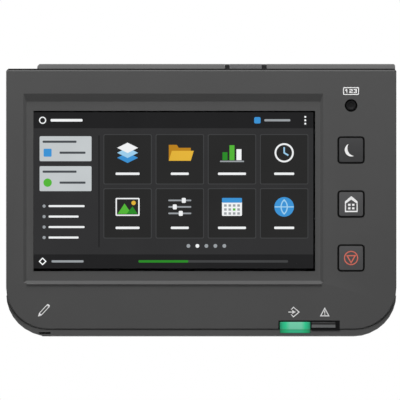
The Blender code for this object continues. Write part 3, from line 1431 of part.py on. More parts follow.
def make_shaft_parts():
    """Tilt shaft, its pin, and at both ends the thrust bush, friction washer and lock nut."""
    shaft = rod("tilt_shaft", "X", (AXIS_Y, AXIS_Z), (-SHAFT_HALF, SHAFT_HALF), SHAFT_RADIUS)
    pin_hole = rod(
        "pin_hole",
        "Z",
        (0.0, AXIS_Y),
        (AXIS_Z - SHAFT_RADIUS - OVERSHOOT, AXIS_Z + PIN_REACH + SEAT_GAP),
        PIN_RADIUS + SEAT_GAP,
        SMALL_STEPS,
    )
    cut(shaft, pin_hole)
    pin_ends = (AXIS_Z - BARREL_RADIUS + PIN_SINK, AXIS_Z + PIN_REACH)
    pin = rod("shaft_pin", "Z", (0.0, AXIS_Y), pin_ends, PIN_RADIUS, SMALL_STEPS)
    paint(STEEL, shaft)
    paint(SCREW_STEEL, pin)
    made = [shaft, pin]
    for name, side in (("left", -1), ("right", 1)):
        bore = SHAFT_RADIUS + SEAT_GAP
        low, high = sorted((side * WASHER_INNER, side * (WASHER_INNER + WASHER_THICK)))
        washer = turned(
            "friction_washer_" + name,
            "X",
            (AXIS_Y, AXIS_Z),
            [(WASHER_RADIUS, high), (WASHER_RADIUS, low), (bore, low), (bore, high)],
        )
        low, high = sorted((side * BUSH_INNER, side * BUSH_OUTER))
        bush = turned(
            "thrust_bush_" + name,
            "X",
            (AXIS_Y, AXIS_Z),
            [(BUSH_RADIUS, high), (BUSH_RADIUS, low), (bore, low), (bore, high)],
        )
        low, high = sorted((side * NUT_INNER, side * (NUT_INNER + NUT_THICK)))
        nut = rod("lock_nut_" + name, "X", (AXIS_Y, AXIS_Z), (low, high), NUT_RADIUS, 6)
        cut(nut, rod("nut_bore", "X", (AXIS_Y, AXIS_Z), (low - OVERSHOOT, high + OVERSHOOT), bore))
        paint(SCREW_STEEL, washer)
        paint(STEEL, nut)
        paint(BLACK_PLASTIC, bush)
        made += [bush, washer, nut]
    return made


def arm_screw_places():
    return [
        (side * ARM_SCREW_SIDE, level * ARM_SCREW_HEIGHT) for side in (-1, 1) for level in (-1, 1)
    ]


def make_arm():
    """Cast arm: a base on the bracket, a neck that tapers forward, and the knuckle on the tilt axis."""
    base_front = -BRACKET_THICK - SEAT_GAP - ARM_BASE_THICK
    arm = flat(
        "hinge_arm",
        "Y",
        [square_outline(0.0, 0.0, ARM_BASE_WIDTH, ARM_BASE_HEIGHT, ARM_BASE_CORNER)],
        (base_front, base_front + ARM_BASE_THICK),
    )
    throat = AXIS_Y + HOUSING_DEPTH - AXIS_DEPTH + NECK_CLEAR
    sections = (
        (base_front + SINK, 0.0, NECK_ROOT_WIDTH, NECK_ROOT_HEIGHT),
        ((base_front + throat) / 2, NECK_MIDDLE_RISE * AXIS_Z, NECK_MIDDLE_WIDTH, NECK_MIDDLE_HEIGHT),
        (throat, AXIS_Z, KNUCKLE_WIDTH, NECK_HEIGHT),
        (AXIS_Y + BARREL_RADIUS / 2, AXIS_Z, KNUCKLE_WIDTH - SINK, NECK_HEIGHT),
    )
    neck = loft(
        "neck",
        [(y, square_outline(0.0, rise, width, height, NECK_CORNER)) for y, rise, width, height in sections],
    )
    knuckle = rod("knuckle", "X", (AXIS_Y, AXIS_Z), (-KNUCKLE_HALF, KNUCKLE_HALF), BARREL_RADIUS)
    join(arm, neck, knuckle)
    bore = rod(
        "knuckle_bore",
        "X",
        (AXIS_Y, AXIS_Z),
        (-KNUCKLE_HALF - OVERSHOOT, KNUCKLE_HALF + OVERSHOOT),
        SHAFT_RADIUS + SEAT_GAP,
    )
    pin_bore = rod(
        "knuckle_pin_bore",
        "Z",
        (0.0, AXIS_Y),
        (AXIS_Z - BARREL_RADIUS - OVERSHOOT, AXIS_Z),
        PIN_RADIUS + SEAT_GAP,
        SMALL_STEPS,
    )
    cut(arm, bore, pin_bore)
    for place in arm_screw_places():
        ends = (base_front - OVERSHOOT, base_front + ARM_BASE_THICK + OVERSHOOT)
        cut(arm, rod("arm_screw_hole", "Y", place, ends, ARM_SCREW_RADIUS + SCREW_HOLE_GAP, SMALL_STEPS))
    paint(CASTING, arm)
    return arm


def circle(centre_u, centre_v, radius, steps=SMALL_STEPS):
    angles = [2 * math.pi * step / steps for step in range(steps)]
    return [(centre_u + radius * math.cos(angle), centre_v + radius * math.sin(angle)) for angle in angles]


def make_bracket():
    """Pressed steel bracket with fixing holes and two folded edges."""
    outlines = [square_outline(0.0, 0.0, BRACKET_WIDTH, BRACKET_HEIGHT, BRACKET_CORNER)]
    for side in (-1, 1):
        for level in (-1, 1):
            outlines.append(circle(side * FIXING_SIDE, level * FIXING_HEIGHT, FIXING_RADIUS))
    outlines += [circle(*place, ARM_SCREW_RADIUS + SCREW_HOLE_GAP) for place in arm_screw_places()]
    bracket = flat("mount_bracket", "Y", outlines, (-BRACKET_THICK, 0.0))
    half = BRACKET_WIDTH / 2 - BRACKET_FLANGE_INSET
    for low, high in (
        (BRACKET_HEIGHT / 2 - BRACKET_THICK, BRACKET_HEIGHT / 2),
        (-BRACKET_HEIGHT / 2, -BRACKET_HEIGHT / 2 + BRACKET_THICK),
    ):
        fold = (-BRACKET_THICK - BRACKET_FLANGE, -BRACKET_THICK / 2)
        join(bracket, box("bracket_fold", (-half, half), fold, (low, high)))
    paint(STEEL, bracket)
    return bracket


def make_arm_screws():
    """Screws with round heads that hold the arm on the bracket."""
    seat = -BRACKET_THICK - SEAT_GAP - ARM_BASE_THICK - SEAT_GAP
    screws = []
    for number, place in enumerate(arm_screw_places(), 1):
        screw = turned(
            f"arm_screw_{number}",
            "Y",
            place,
            [
                (0.0, seat - ARM_SCREW_HEAD),
                (0.6 * ARM_SCREW_HEAD_RADIUS, seat - 0.9 * ARM_SCREW_HEAD),
                (ARM_SCREW_HEAD_RADIUS, seat - 0.4 * ARM_SCREW_HEAD),
                (ARM_SCREW_HEAD_RADIUS, seat),
                (ARM_SCREW_RADIUS, seat),
                (ARM_SCREW_RADIUS, -BRACKET_THICK / 2),
                (0.0, -BRACKET_THICK / 2),
            ],
            SMALL_STEPS,
        )
        paint(SCREW_STEEL, screw)
        screws.append(screw)
    return screws


def make_rear_screws():
    """Screws in the rear cover's counterbores that reach the chassis plate."""
    head_front = y_at(HOUSING_DEPTH - REAR_SCREW_SINK + SEAT_GAP)
    tip = y_at(CHASSIS_FRONT + SEAT_GAP)
    screws = []
    for number, (from_left, from_top) in enumerate(side_places(REAR_BOSS_SIDE), 1):
        screw = turned(
            f"rear_screw_{number}",
            "Y",
            (x_at(from_left), z_at(from_top)),
            [
                (0.0, tip),
                (REAR_SCREW_RADIUS, tip),
                (REAR_SCREW_RADIUS, head_front),
                (REAR_SCREW_HEAD_RADIUS, head_front),
                (REAR_SCREW_HEAD_RADIUS, head_front + 0.6 * REAR_SCREW_HEAD),
                (0.7 * REAR_SCREW_HEAD_RADIUS, head_front + REAR_SCREW_HEAD),
                (0.0, head_front + REAR_SCREW_HEAD),
            ],
            SMALL_STEPS,
        )
        paint(SCREW_STEEL, screw)
        screws.append(screw)
    return screws


def pen_centre():
    return x_at(PEN_FROM_LEFT), y_at(PEN_DEPTH)


def pen_underside():
    """Height of the rear cover's underside at the pen."""
    return SEAM_Z - chin_drop(PEN_DEPTH)


def make_pen_tube():
    """Tube behind the chassis plate, closed at its top, that holds the pen."""
    low = pen_underside() + PEN_TUBE_SINK
    roof = pen_underside() + PEN_LENGTH + PEN_HEAD_ROOM
    tube = turned(
        "pen_tube",
        "Z",
        pen_centre(),
        [
            (0.0, roof + PEN_TUBE_ROOF),
            (PEN_TUBE_RADIUS, roof + PEN_TUBE_ROOF),
            (PEN_TUBE_RADIUS, low),
            (PEN_TUBE_BORE, low),
            (PEN_TUBE_BORE, roof),
            (0.0, roof),
        ],
    )
    paint(BLACK_PLASTIC, tube)
    return tube


def make_pen():
    """Pen that stands in its tube: barrel, nib at its upper end and tail cap, on an empty at its tail."""
    tail_end = pen_underside()
    barrel_low = tail_end + PEN_TAIL + SEAT_GAP
    barrel_high = tail_end + PEN_LENGTH - PEN_NIB
    nib_low = barrel_high + SEAT_GAP
    spigot = PEN_BORE - SEAT_GAP
    barrel = turned(
        "pen_barrel",
        "Z",
        pen_centre(),
        [
            (PEN_RADIUS, barrel_high),
            (PEN_RADIUS, barrel_low),
            (PEN_BORE, barrel_low),
            (PEN_BORE, barrel_high),
        ],
    )
    nib = turned(
        "pen_nib",
        "Z",
        pen_centre(),
        [
            (0.0, tail_end + PEN_LENGTH),
            (0.7 * PEN_NIB_TIP, tail_end + PEN_LENGTH - 0.3 * PEN_NIB_TIP),
            (PEN_NIB_TIP, tail_end + PEN_LENGTH - PEN_NIB_TIP),
            (PEN_RADIUS, nib_low + 0.25 * PEN_NIB),
            (PEN_RADIUS, nib_low),
            (spigot, nib_low),
            (spigot, nib_low - PEN_SPIGOT),
            (0.0, nib_low - PEN_SPIGOT),
        ],
    )
    tail_high = tail_end + PEN_TAIL
    tail = turned(
        "pen_tail",
        "Z",
        pen_centre(),
        [
            (0.0, tail_high + PEN_SPIGOT),
            (spigot, tail_high + PEN_SPIGOT),
            (spigot, tail_high),
            (PEN_RADIUS, tail_high),
            (PEN_RADIUS, tail_high - PEN_TAIL / 3),
            (PEN_RADIUS - PEN_TAIL_GROOVE, tail_high - PEN_TAIL / 2),
            (PEN_RADIUS - PEN_TAIL_GROOVE, tail_end + PEN_TAIL / 3),
            (PEN_RADIUS, tail_end + PEN_TAIL / 3),
            (PEN_RADIUS, tail_end + PEN_TAIL_ROUND),
            (PEN_RADIUS - PEN_TAIL_ROUND, tail_end),
            (0.0, tail_end),
        ],
    )
    paint(DARK_KEY_PLASTIC, barrel)
    paint(BLACK_PLASTIC, nib, tail)
    slide = pivot("pen_slide", along("Z", pen_centre(), tail_end))
    carry(slide, barrel, nib, tail)
    return slide


def make_panel():
    """Everything that tilts, on an empty on the tilt axis."""
    tilt = pivot("tilt_axis", (0.0, AXIS_Y, AXIS_Z))
    carry(
        tilt,
        make_front_cover(),
        make_rear_cover(),
        make_chassis(),
        make_pen_tube(),
        make_pen(),
        make_leaf("hinge_leaf_left", -1),
        make_leaf("hinge_leaf_right", 1),
        *make_screen(),
        *make_main_board(),
        *make_key_board(),
        *make_cables(),
        *make_indicator(),
        *make_keys(),
        *make_rear_screws(),
    )


def make_mount():
    """Everything that stays on the machine."""
    make_bracket()
    make_arm()
    make_shaft_parts()
    make_arm_screws()


make_mount()
make_panel()
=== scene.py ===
"""Looks of an office copier's operation panel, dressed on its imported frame.

The panel looks along -Y. Names that end in _mm are in millimetres, and places on the panel count from its
left and top edges. Other lengths are in metres, and the screen's picture is drawn in steps of its own.
"""

from __future__ import annotations

import json
import logging
import math
from dataclasses import dataclass, field
from enum import Enum

import bmesh
import bpy
from bpy.types import ID, ColorRamp, Material, Mesh, Node, NodeSocket, NodeTree, Object
from mathutils import Matrix, Vector

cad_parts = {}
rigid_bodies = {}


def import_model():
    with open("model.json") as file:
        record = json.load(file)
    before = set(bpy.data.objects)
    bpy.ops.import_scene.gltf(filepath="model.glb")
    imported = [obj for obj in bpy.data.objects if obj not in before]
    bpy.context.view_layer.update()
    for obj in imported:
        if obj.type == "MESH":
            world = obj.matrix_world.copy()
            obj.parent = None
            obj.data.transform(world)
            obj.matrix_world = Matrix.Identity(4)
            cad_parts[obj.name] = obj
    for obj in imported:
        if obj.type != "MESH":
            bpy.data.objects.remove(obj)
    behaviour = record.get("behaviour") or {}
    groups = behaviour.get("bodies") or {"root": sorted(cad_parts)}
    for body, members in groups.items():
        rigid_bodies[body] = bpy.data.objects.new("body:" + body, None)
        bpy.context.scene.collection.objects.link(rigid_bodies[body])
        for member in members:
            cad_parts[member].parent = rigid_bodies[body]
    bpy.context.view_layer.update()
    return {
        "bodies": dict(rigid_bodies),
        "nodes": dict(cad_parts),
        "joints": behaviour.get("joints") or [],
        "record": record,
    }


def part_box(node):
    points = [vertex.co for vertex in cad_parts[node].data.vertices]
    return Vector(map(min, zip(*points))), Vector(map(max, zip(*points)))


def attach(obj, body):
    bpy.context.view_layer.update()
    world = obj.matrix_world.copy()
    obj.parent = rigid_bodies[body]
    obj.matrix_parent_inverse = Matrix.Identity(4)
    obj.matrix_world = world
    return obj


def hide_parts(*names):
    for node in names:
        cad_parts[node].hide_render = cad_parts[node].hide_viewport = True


LOG = logging.getLogger("operation_panel")
MM = 0.001
TOP_STEP_MM = 1.0
FILM_WELD = 1e-7
SKIN_WELD = 1e-6
CORNER_STEPS = 6
MITRE_LIMIT = 0.35
KEY_NAMES = ("energy", "home", "stop", "counter")
Point = tuple[float, float]
Outline = list[Point]


def linear(colour: str) -> tuple[float, float, float, float]:
    """Linear colour of an sRGB hex value.

    Args:
        colour: six hex digits.

    Returns:
        Red, green, blue and an alpha of 1.
    """
    channels = [int(colour[place : place + 2], 16) / 255 for place in (0, 2, 4)]
    return (*(c / 12.92 if c <= 0.04045 else ((c + 0.055) / 1.055) ** 2.4 for c in channels), 1.0)


def set_stops(ramp: ColorRamp, stops: list[tuple[float, str]]) -> None:
    """Gives a colour ramp its stops.

    Args:
        ramp: the ramp.
        stops: places from 0 to 1 with their sRGB hex colours, in order.
    """
    while len(ramp.elements) < len(stops):
        ramp.elements.new(1.0)
    for element, (place, colour) in zip(ramp.elements, stops):
        element.position = place
        element.color = linear(colour)


def set_node(node: Node, values: dict) -> None:
    """Sets up a node.

    Args:
        node: the node.
        values: attributes by their names, a colour ramp's stops, and for the name or number of an input its
            value or the socket that feeds it.
    """
    for name, value in values.items():
        if name == "stops":
            set_stops(node.color_ramp, value)
        elif isinstance(name, str) and name not in node.inputs:
            setattr(node, name, value)
        elif isinstance(value, NodeSocket):
            node.id_data.links.new(value, node.inputs[name])
        else:
            node.inputs[name].default_value = value


def add_node(tree: NodeTree, kind: str, values: dict) -> Node:
    """Adds a node with its settings and links.

    Args:
        tree: the node tree that takes it.
        kind: Blender's name for the node.
        values: as set_node takes them.

    Returns:
        The new node.
    """
    node = tree.nodes.new(kind)
    set_node(node, values)
    return node


def seen_by_eye(tree: NodeTree) -> NodeSocket:
    """Tells what is seen from what only lights.

    Args:
        tree: nodes of a material or of the world.

    Returns:
        A socket that is 1 for rays that are seen straight, in gloss or through glass, and otherwise 0.
    """
    path = add_node(tree, "ShaderNodeLightPath", {})
    seen = path.outputs["Is Camera Ray"]
    for kind in ("Is Glossy Ray", "Is Transmission Ray"):
        either = add_node(tree, "ShaderNodeMath", {"operation": "MAXIMUM", 0: seen, 1: path.outputs[kind]})
        seen = either.outputs["Value"]
    return seen


@dataclass(frozen=True)
class Finish:
    """A finish: a material that is made once and shared by the pieces that have it."""

    name: str
    colour: str

    @property
    def tree(self) -> NodeTree:
        """The nodes of its material."""
        return bpy.data.materials[self.name].node_tree

    def place(self, kind: str) -> NodeSocket:
        """Texture coordinates of a kind, such as Object."""
        return self.tree.nodes["place"].outputs[kind]

    def shade(self, values: dict) -> None:
        """Sets up the shader as set_node does."""
        set_node(self.tree.nodes["Principled BSDF"], values)

    def material(self) -> Material:
        """Gives the material of this finish, made at its first use.

        Returns:
            The material.
        """
        found = bpy.data.materials.get(self.name)
        if found:
            return found
        made = bpy.data.materials.new(self.name)
        made.use_nodes = True
        add_node(self.tree, "ShaderNodeTexCoord", {"name": "place"})
        self.shade({"Base Color": linear(self.colour)})
        self.work()
        return made

    def work(self) -> None:
        """Adds what the finish shows beyond its plain colour."""
        raise NotImplementedError

    def pattern(self, kind: str, size_mm: float, values: dict) -> Node:
        """Adds a texture at its real size on the piece.

        Args:
            kind: Blender's name for the texture.
            size_mm: how large it repeats.
            values: its other settings and links.

        Returns:
            The texture's node.
        """
        scale = {"Scale": 1 / (size_mm * MM), "Vector": self.place("Object")}
        return add_node(self.tree, kind, scale | values)

    def uneven(self, size_mm: float, detail: float, low: float, high: float) -> NodeSocket:
        """Makes the colour darker and lighter in soft patches.

        Args:
            size_mm: how large the patches are.
            detail: how fine they break up.
            low: the least share of the colour.
            high: the largest share of the colour.

        Returns:
            The socket that gives the colour.
        """
        patch = self.pattern("ShaderNodeTexNoise", size_mm, {"Detail": detail}).outputs["Fac"]
        level = add_node(self.tree, "ShaderNodeMapRange", {"To Min": low, "To Max": high, "Value": patch})
        product = {"operation": "MULTIPLY", 0: linear(self.colour)[:3], 1: level.outputs["Result"]}
        return add_node(self.tree, "ShaderNodeVectorMath", product).outputs["Vector"]


@dataclass(frozen=True)
class ReliefFinish(Finish):
    """A finish with a fine relief, which breaks up its gloss."""

    roughness: float = 0.5
    gloss_spread: float = 0.06
    bump: float = 0.5
    relief_mm: float = 0.012

    def raise_relief(self, pattern: NodeSocket) -> None:
        """Lets a pattern show in gloss and bump.

        Args:
            pattern: a socket that goes from 0 to 1.
        """
        low, high = self.roughness - self.gloss_spread, self.roughness + self.gloss_spread
        rough = add_node(self.tree, "ShaderNodeMapRange", {"To Min": low, "To Max": high, "Value": pattern})
        relief = {"Strength": self.bump, "Distance": self.relief_mm * MM, "Height": pattern}
        bump = add_node(self.tree, "ShaderNodeBump", relief)
        self.shade({"Roughness": rough.outputs["Result"], "Normal": bump.outputs["Normal"]})


@dataclass(frozen=True)
class MouldedPlastic(ReliefFinish):
    """Plastic moulded in a spark-eroded tool: an even grain that breaks up the gloss, and a flow tint."""

    grain_mm: float = 0.7
    flow_mm: float = 45.0
    spread: float = 0.05
    specular: float = 0.12

    def tint(self) -> NodeSocket:
        """The socket of the colour with its slow change along the flow."""
        return self.uneven(self.flow_mm, 1.0, 1.0 - self.spread, 1.0 + self.spread)

    def work(self) -> None:
        """Works grain into gloss and bump, and a slow change of tint into the colour."""
        # The real grain is about 0.1 mm. It is drawn coarser, so that it shows at all.
        grain = self.pattern("ShaderNodeTexNoise", self.grain_mm, {"Detail": 3.0, "Roughness": 0.6})
        self.raise_relief(grain.outputs["Fac"])
        self.shade({"IOR": 1.53, "Specular IOR Level": self.specular, "Base Color": self.tint()})


@dataclass(frozen=True)
class EdgeShadedKey(MouldedPlastic):
    """Moulded key: a satin cap face, with black painted on its sides and rounded edge as painted shade, which
    shows as a thin black rim round it.
    """

    cap: float = 0.25
    facing: float = 0.9
    edge_shade: str = "050505"

    def tint(self) -> NodeSocket:
        """Gives the cap's colour where the key faces forward, down to a share of its depth, and black painted
        shade elsewhere.

        Returns:
            The socket that gives the colour.
        """
        # Black on the key's sides and rounded front edge is painted shade, for the shadow in the gap round
        # the key.
        past = []
        for kind, least in (("Generated", self.cap), ("Normal", -self.facing)):
            axes = add_node(self.tree, "ShaderNodeSeparateXYZ", {"Vector": self.place(kind)})
            over = {"operation": "GREATER_THAN", 0: axes.outputs["Y"], 1: least}
            past.append(add_node(self.tree, "ShaderNodeMath", over).outputs["Value"])
        share = add_node(self.tree, "ShaderNodeMath", {"operation": "MAXIMUM", 0: past[0], 1: past[1]})
        both = {"Fac": share.outputs["Value"], "Color1": super().tint(), "Color2": linear(self.edge_shade)}
        return add_node(self.tree, "ShaderNodeMixRGB", both).outputs["Color"]


@dataclass(frozen=True)
class RolledSteel(ReliefFinish):
    """Steel, zinc plated or blackened: fine lines of the roll or tool along X, and a cloudy tint."""

    roughness: float = 0.42
    gloss_spread: float = 0.08
    bump: float = 0.3
    relief_mm: float = 0.01
    line_mm: float = 0.6
    line_stretch: float = 25.0
    cloud_mm: float = 9.0
    cloud_colour: str = "84888b"

    def work(self) -> None:
        """Works lines into gloss and bump, and clouds into the colour."""
        stretch = {"Scale": (1 / self.line_stretch, 1.0, 1.0), "Vector": self.place("Object")}
        along = add_node(self.tree, "ShaderNodeMapping", stretch).outputs["Vector"]
        lines = self.pattern("ShaderNodeTexNoise", self.line_mm, {"Detail": 2.0, "Vector": along})
        self.raise_relief(lines.outputs["Fac"])
        cloud = self.pattern("ShaderNodeTexVoronoi", self.cloud_mm, {}).outputs["Distance"]
        stops = [(0.1, self.colour), (0.8, self.cloud_colour)]
        tint = add_node(self.tree, "ShaderNodeValToRGB", {"Fac": cloud, "stops": stops})
        self.shade({"Metallic": 1.0, "Base Color": tint.outputs["Color"]})


@dataclass(frozen=True)
class PowderCoat(ReliefFinish):
    """Powder paint baked on a casting: an orange-peel skin with a soft sheen, and a painted highlight on the
    peaks of the peel.
    """

    roughness: float = 0.55
    gloss_spread: float = 0.05
    bump: float = 0.4
    relief_mm: float = 0.03
    peel_mm: float = 1.6
    peak_highlight: str = "515152"
    specular: float = 0.1

    def work(self) -> None:
        """Works orange peel into gloss and bump, and paints its peaks lighter as a painted highlight."""
        peel = self.pattern("ShaderNodeTexNoise", self.peel_mm, {"Detail": 1.0}).outputs["Fac"]
        self.raise_relief(peel)
        # The lighter peak colour is a painted highlight on the peaks of the peel.
        stops = [(0.3, self.colour), (0.75, self.peak_highlight)]
        tint = add_node(self.tree, "ShaderNodeValToRGB", {"Fac": peel, "stops": stops})
        self.shade({"Specular IOR Level": self.specular, "Base Color": tint.outputs["Color"]})


@dataclass(frozen=True)
class PadPrint(Finish):
    """Pad-printed ink on the moulding: a matte, opaque film, slightly uneven where the pad lifted."""

    patch_mm: float = 1.2

    def work(self) -> None:
        """Works a slight unevenness into the colour."""
        colour = self.uneven(self.patch_mm, 2.0, 0.92, 1.04)
        self.shade({"Roughness": 0.6, "Specular IOR Level": 0.3, "Base Color": colour})


@dataclass(frozen=True)
class StudioPaper(Finish):
    """Coated paper from a roll: pale and matte. It looks white by itself, so that the lamps can stay low."""

    glow: float = 0.6

    def work(self) -> None:
        """Adds a glow for the eye, for gloss and through glass, but none that lights the object."""
        shine = {"operation": "MULTIPLY", 0: seen_by_eye(self.tree), 1: self.glow}
        glow = add_node(self.tree, "ShaderNodeMath", shine).outputs["Value"]
        self.shade({"Roughness": 0.8, "Specular IOR Level": 0.1})
        self.shade({"Emission Color": linear("ffffff"), "Emission Strength": glow})


@dataclass(frozen=True)
class LitPixels(Finish):
    """A lit field of the LCD: the colour shines by itself, a little uneven where the backlight is."""

    patch_mm: float = 28.0

    def work(self) -> None:
        """Makes the colour shine, with the backlight's unevenness."""
        self.shade({"Base Color": linear("000000"), "Roughness": 0.5, "Specular IOR Level": 0.0})
        self.shade({"Emission Strength": 1.0, "Emission Color": self.uneven(self.patch_mm, 1.0, 0.93, 1.07)})


@dataclass(frozen=True)
class CoatedGlass(Finish):
    """Float glass with an anti-reflection coat: clear, and free of mirror images of the room."""

    ior: float = 1.01
    roughness: float = 0.02

    def work(self) -> None:
        """Makes it clear all through."""
        # The coat takes away the reflection of bare glass, which the low IOR and the black tint give.
        self.shade({"IOR": self.ior, "Specular Tint": linear("000000")})
        self.shade({"Roughness": self.roughness, "Transmission Weight": 1.0})


@dataclass(frozen=True)
class LightPipe(Finish):
    """Tinted acrylic with a lamp behind it: pale at the lamp, deep at its ends and darker past its bend,
    where its lower part's glow also stands in for green light spilled on the lip as painted light.
    """

    ends: str = "22c48a"
    bend: float = 0.3
    glow: float = 0.82

    def work(self) -> None:
        """Makes it glow along its length, dimmed below the bend, where the glow is partly painted light."""
        axes = add_node(self.tree, "ShaderNodeSeparateXYZ", {"Vector": self.place("Generated")}).outputs
        stops = [(0.0, "086a48"), (0.09, "1aa878"), (0.19, self.ends), (0.34, self.colour)]
        stops += [(0.7, self.colour), (0.83, self.ends), (0.93, "1aa374"), (1.0, "0a5a40")]
        along = add_node(self.tree, "ShaderNodeValToRGB", {"Fac": axes["X"], "stops": stops})
        # Below the bend the lens's lower part glows dimmer; this glow also stands in for the green light that
        # spills onto the lip under the lens: painted light.
        stops = [(0.0, "5cb8a4"), (self.bend - 0.1, "6cd4bc"), (self.bend, "62c0a8")]
        stops += [(self.bend + 0.09, "f0f0f0"), (1.0, "ffffff")]
        fall = add_node(self.tree, "ShaderNodeValToRGB", {"Fac": axes["Z"], "stops": stops})
        product = {"operation": "MULTIPLY", 0: along.outputs["Color"], 1: fall.outputs["Color"]}
        light = add_node(self.tree, "ShaderNodeVectorMath", product)
        self.shade({"Base Color": linear("0c5c40"), "Roughness": 0.25})
        self.shade({"IOR": 1.49, "Specular IOR Level": 0.3})
        self.shade({"Emission Strength": self.glow, "Emission Color": light.outputs["Vector"]})


@dataclass(frozen=True)
class SmokedAcrylic(Finish):
    """Smoked acrylic, unlit: nearly black, with a painted highlight on its lower half where its bevel would
    take the light, and a faint painted highlight at its top edge.
    """

    bevel: str = "626364"

    def work(self) -> None:
        """Paints the lower half lighter and the top edge a little lighter, as painted highlights."""
        axes = add_node(self.tree, "ShaderNodeSeparateXYZ", {"Vector": self.place("Generated")})
        # These stops are painted light: a highlight on the lower bevel that fades up into the dark, and a
        # faint highlight at the top.
        stops = [(0.0, self.bevel), (0.44, self.bevel), (0.56, "343435")]
        stops += [(0.66, self.colour), (0.86, self.colour), (1.0, "3a3a3b")]
        tint = add_node(self.tree, "ShaderNodeValToRGB", {"Fac": axes.outputs["Z"], "stops": stops})
        self.shade({"Roughness": 0.3, "IOR": 1.49, "Specular IOR Level": 0.3})
        self.shade({"Base Color": tint.outputs["Color"]})


@dataclass(frozen=True)
class SolderMask(Finish):
    """Glass-fibre board under green solder mask: paler copper runs show through it."""

    copper: str = "2f7a48"
    repeat_mm: float = 48.0

    def work(self) -> None:
        """Works copper runs into the colour."""
        upright = {"Rotation": (math.radians(90), 0.0, 0.0), "Vector": self.place("Object")}
        turned = add_node(self.tree, "ShaderNodeMapping", upright).outputs["Vector"]
        runs = self.pattern("ShaderNodeTexBrick", self.repeat_mm, {"Mortar Size": 0.02, "Vector": turned})
        stops = [(0.0, self.colour), (1.0, self.copper)]
        tint = add_node(self.tree, "ShaderNodeValToRGB", {"Fac": runs.outputs["Fac"], "stops": stops})
        self.shade({"Roughness": 0.35, "Base Color": tint.outputs["Color"]})


@dataclass(frozen=True)
class ClosedFoam(Finish):
    """Closed-cell foam: dull black, with small cells at the cut edge."""

    cell: str = "0b0b0b"
    cell_mm: float = 0.8
    relief_mm: float = 0.05

    def work(self) -> None:
        """Works cells into bump and colour."""
        cells = self.pattern("ShaderNodeTexVoronoi", self.cell_mm, {}).outputs["Distance"]
        relief = {"Strength": 0.4, "Distance": self.relief_mm * MM, "Height": cells}
        bump = add_node(self.tree, "ShaderNodeBump", relief)
        stops = [(0.0, self.cell), (0.7, self.colour)]
        tint = add_node(self.tree, "ShaderNodeValToRGB", {"Fac": cells, "stops": stops})
        self.shade({"Roughness": 0.9, "Normal": bump.outputs["Normal"], "Base Color": tint.outputs["Color"]})


# Housing: dark grey and matte, with a grain that spreads the light.
CASE = MouldedPlastic("moulded ABS, spark-eroded grain", "4e4e4e", 0.55)
# Keys and trim: satin caps with black painted shade on their edges and sides, and a black that reads as a
# shadow line.
KEY_CAP = EdgeShadedKey("two-shot ABS, satin cap on black skirt", "515152", 0.45, grain_mm=0.5)
DARK_KEY_CAP = EdgeShadedKey("two-shot ABS, dark cap on black skirt", "404041", 0.42, grain_mm=0.5)
ROUND_KEY_CAP = MouldedPlastic("moulded ABS, black satin", "19191a", 0.55, grain_mm=0.5, specular=0.06)
BLACK_TRIM = MouldedPlastic("moulded ABS, black", "070708", 0.35, grain_mm=0.5, specular=0.08)
# Pen: dark, with a waxy sheen.
PEN_SHELL = MouldedPlastic("moulded polypropylene, pen shell", "3c3c3e", 0.4, grain_mm=0.6)
# Inside: milky nylon, dull chips, glossy cream LEDs, a white diffuser and a silvery cable.
NYLON = MouldedPlastic("moulded nylon, natural", "d9d4c4", 0.5)
RESIN = MouldedPlastic("moulded epoxy, chip body", "1b1b1c", 0.55, grain_mm=0.4)
LED_RESIN = MouldedPlastic("cast resin, LED body", "ece8d2", 0.25, grain_mm=0.8)
DIFFUSER = MouldedPlastic("extruded acrylic, diffuser", "e6eaec", 0.45, grain_mm=1.5)
CABLE_FILM = MouldedPlastic("laminated polyester, flat cable", "d2d6da", 0.35, grain_mm=1.0)
# Display: a black with hardly any gloss, against which the lit fields stand out.
POLARISER = MouldedPlastic("laminated polariser film", "060607", 0.6, grain_mm=1.0, specular=0.02)
# Metals: bright and cloudy zinc, black oxide with a dim shine, and paint with a pebbled sheen and a painted
# highlight on its peel.
ZINC = RolledSteel("rolled steel, zinc plated", "94979a")
BLACK_STEEL = RolledSteel("turned steel, black oxide", "2b2b2d", cloud_colour="202022")
CAST_PAINT = PowderCoat("die-cast aluminium, powder coated", "464647")
# Inks: flat and opaque, so that a sign is legible from every side.
WHITE_INK = PadPrint("pad print, white", "fafafa")
GREY_INK = PadPrint("pad print, light grey", "ececec")
RED_INK = PadPrint("pad print, red", "dc7160")
# Clear and lit pieces: glass that is hardly seen, a glowing lens and a dark one.
GLASS = CoatedGlass("float glass, anti-reflection coat", "ffffff")
GREEN_PIPE = LightPipe("tinted acrylic, lit green", "76caaa")
SMOKE = SmokedAcrylic("smoked acrylic", "131314")
# Board, foam and paper: green with paler runs, dull black, and plain pale.
BOARD = SolderMask("glass-fibre board, solder mask", "1c5231")
FOAM = ClosedFoam("closed-cell foam", "161616")
PAPER = StudioPaper("coated paper, pale", "f2f2f2")


def arc(centre: Point, radius: float, start: float, end: float, steps: int = 24) -> Outline:
    """Points on an arc.

    Args:
        centre: its middle.
        radius: its radius.
        start: first angle in degrees.
        end: last angle in degrees.
        steps: how many stretches it has.

    Returns:
        Its points.
    """
    angles = [math.radians(start + (end - start) * step / steps) for step in range(steps + 1)]
    return [(centre[0] + radius * math.cos(a), centre[1] + radius * math.sin(a)) for a in angles]


def disc(centre: Point, radius: float, steps: int = 36) -> Outline:
    """Points of a circle, without the closing one."""
    return arc(centre, radius, 0.0, 360.0, steps)[:-1]


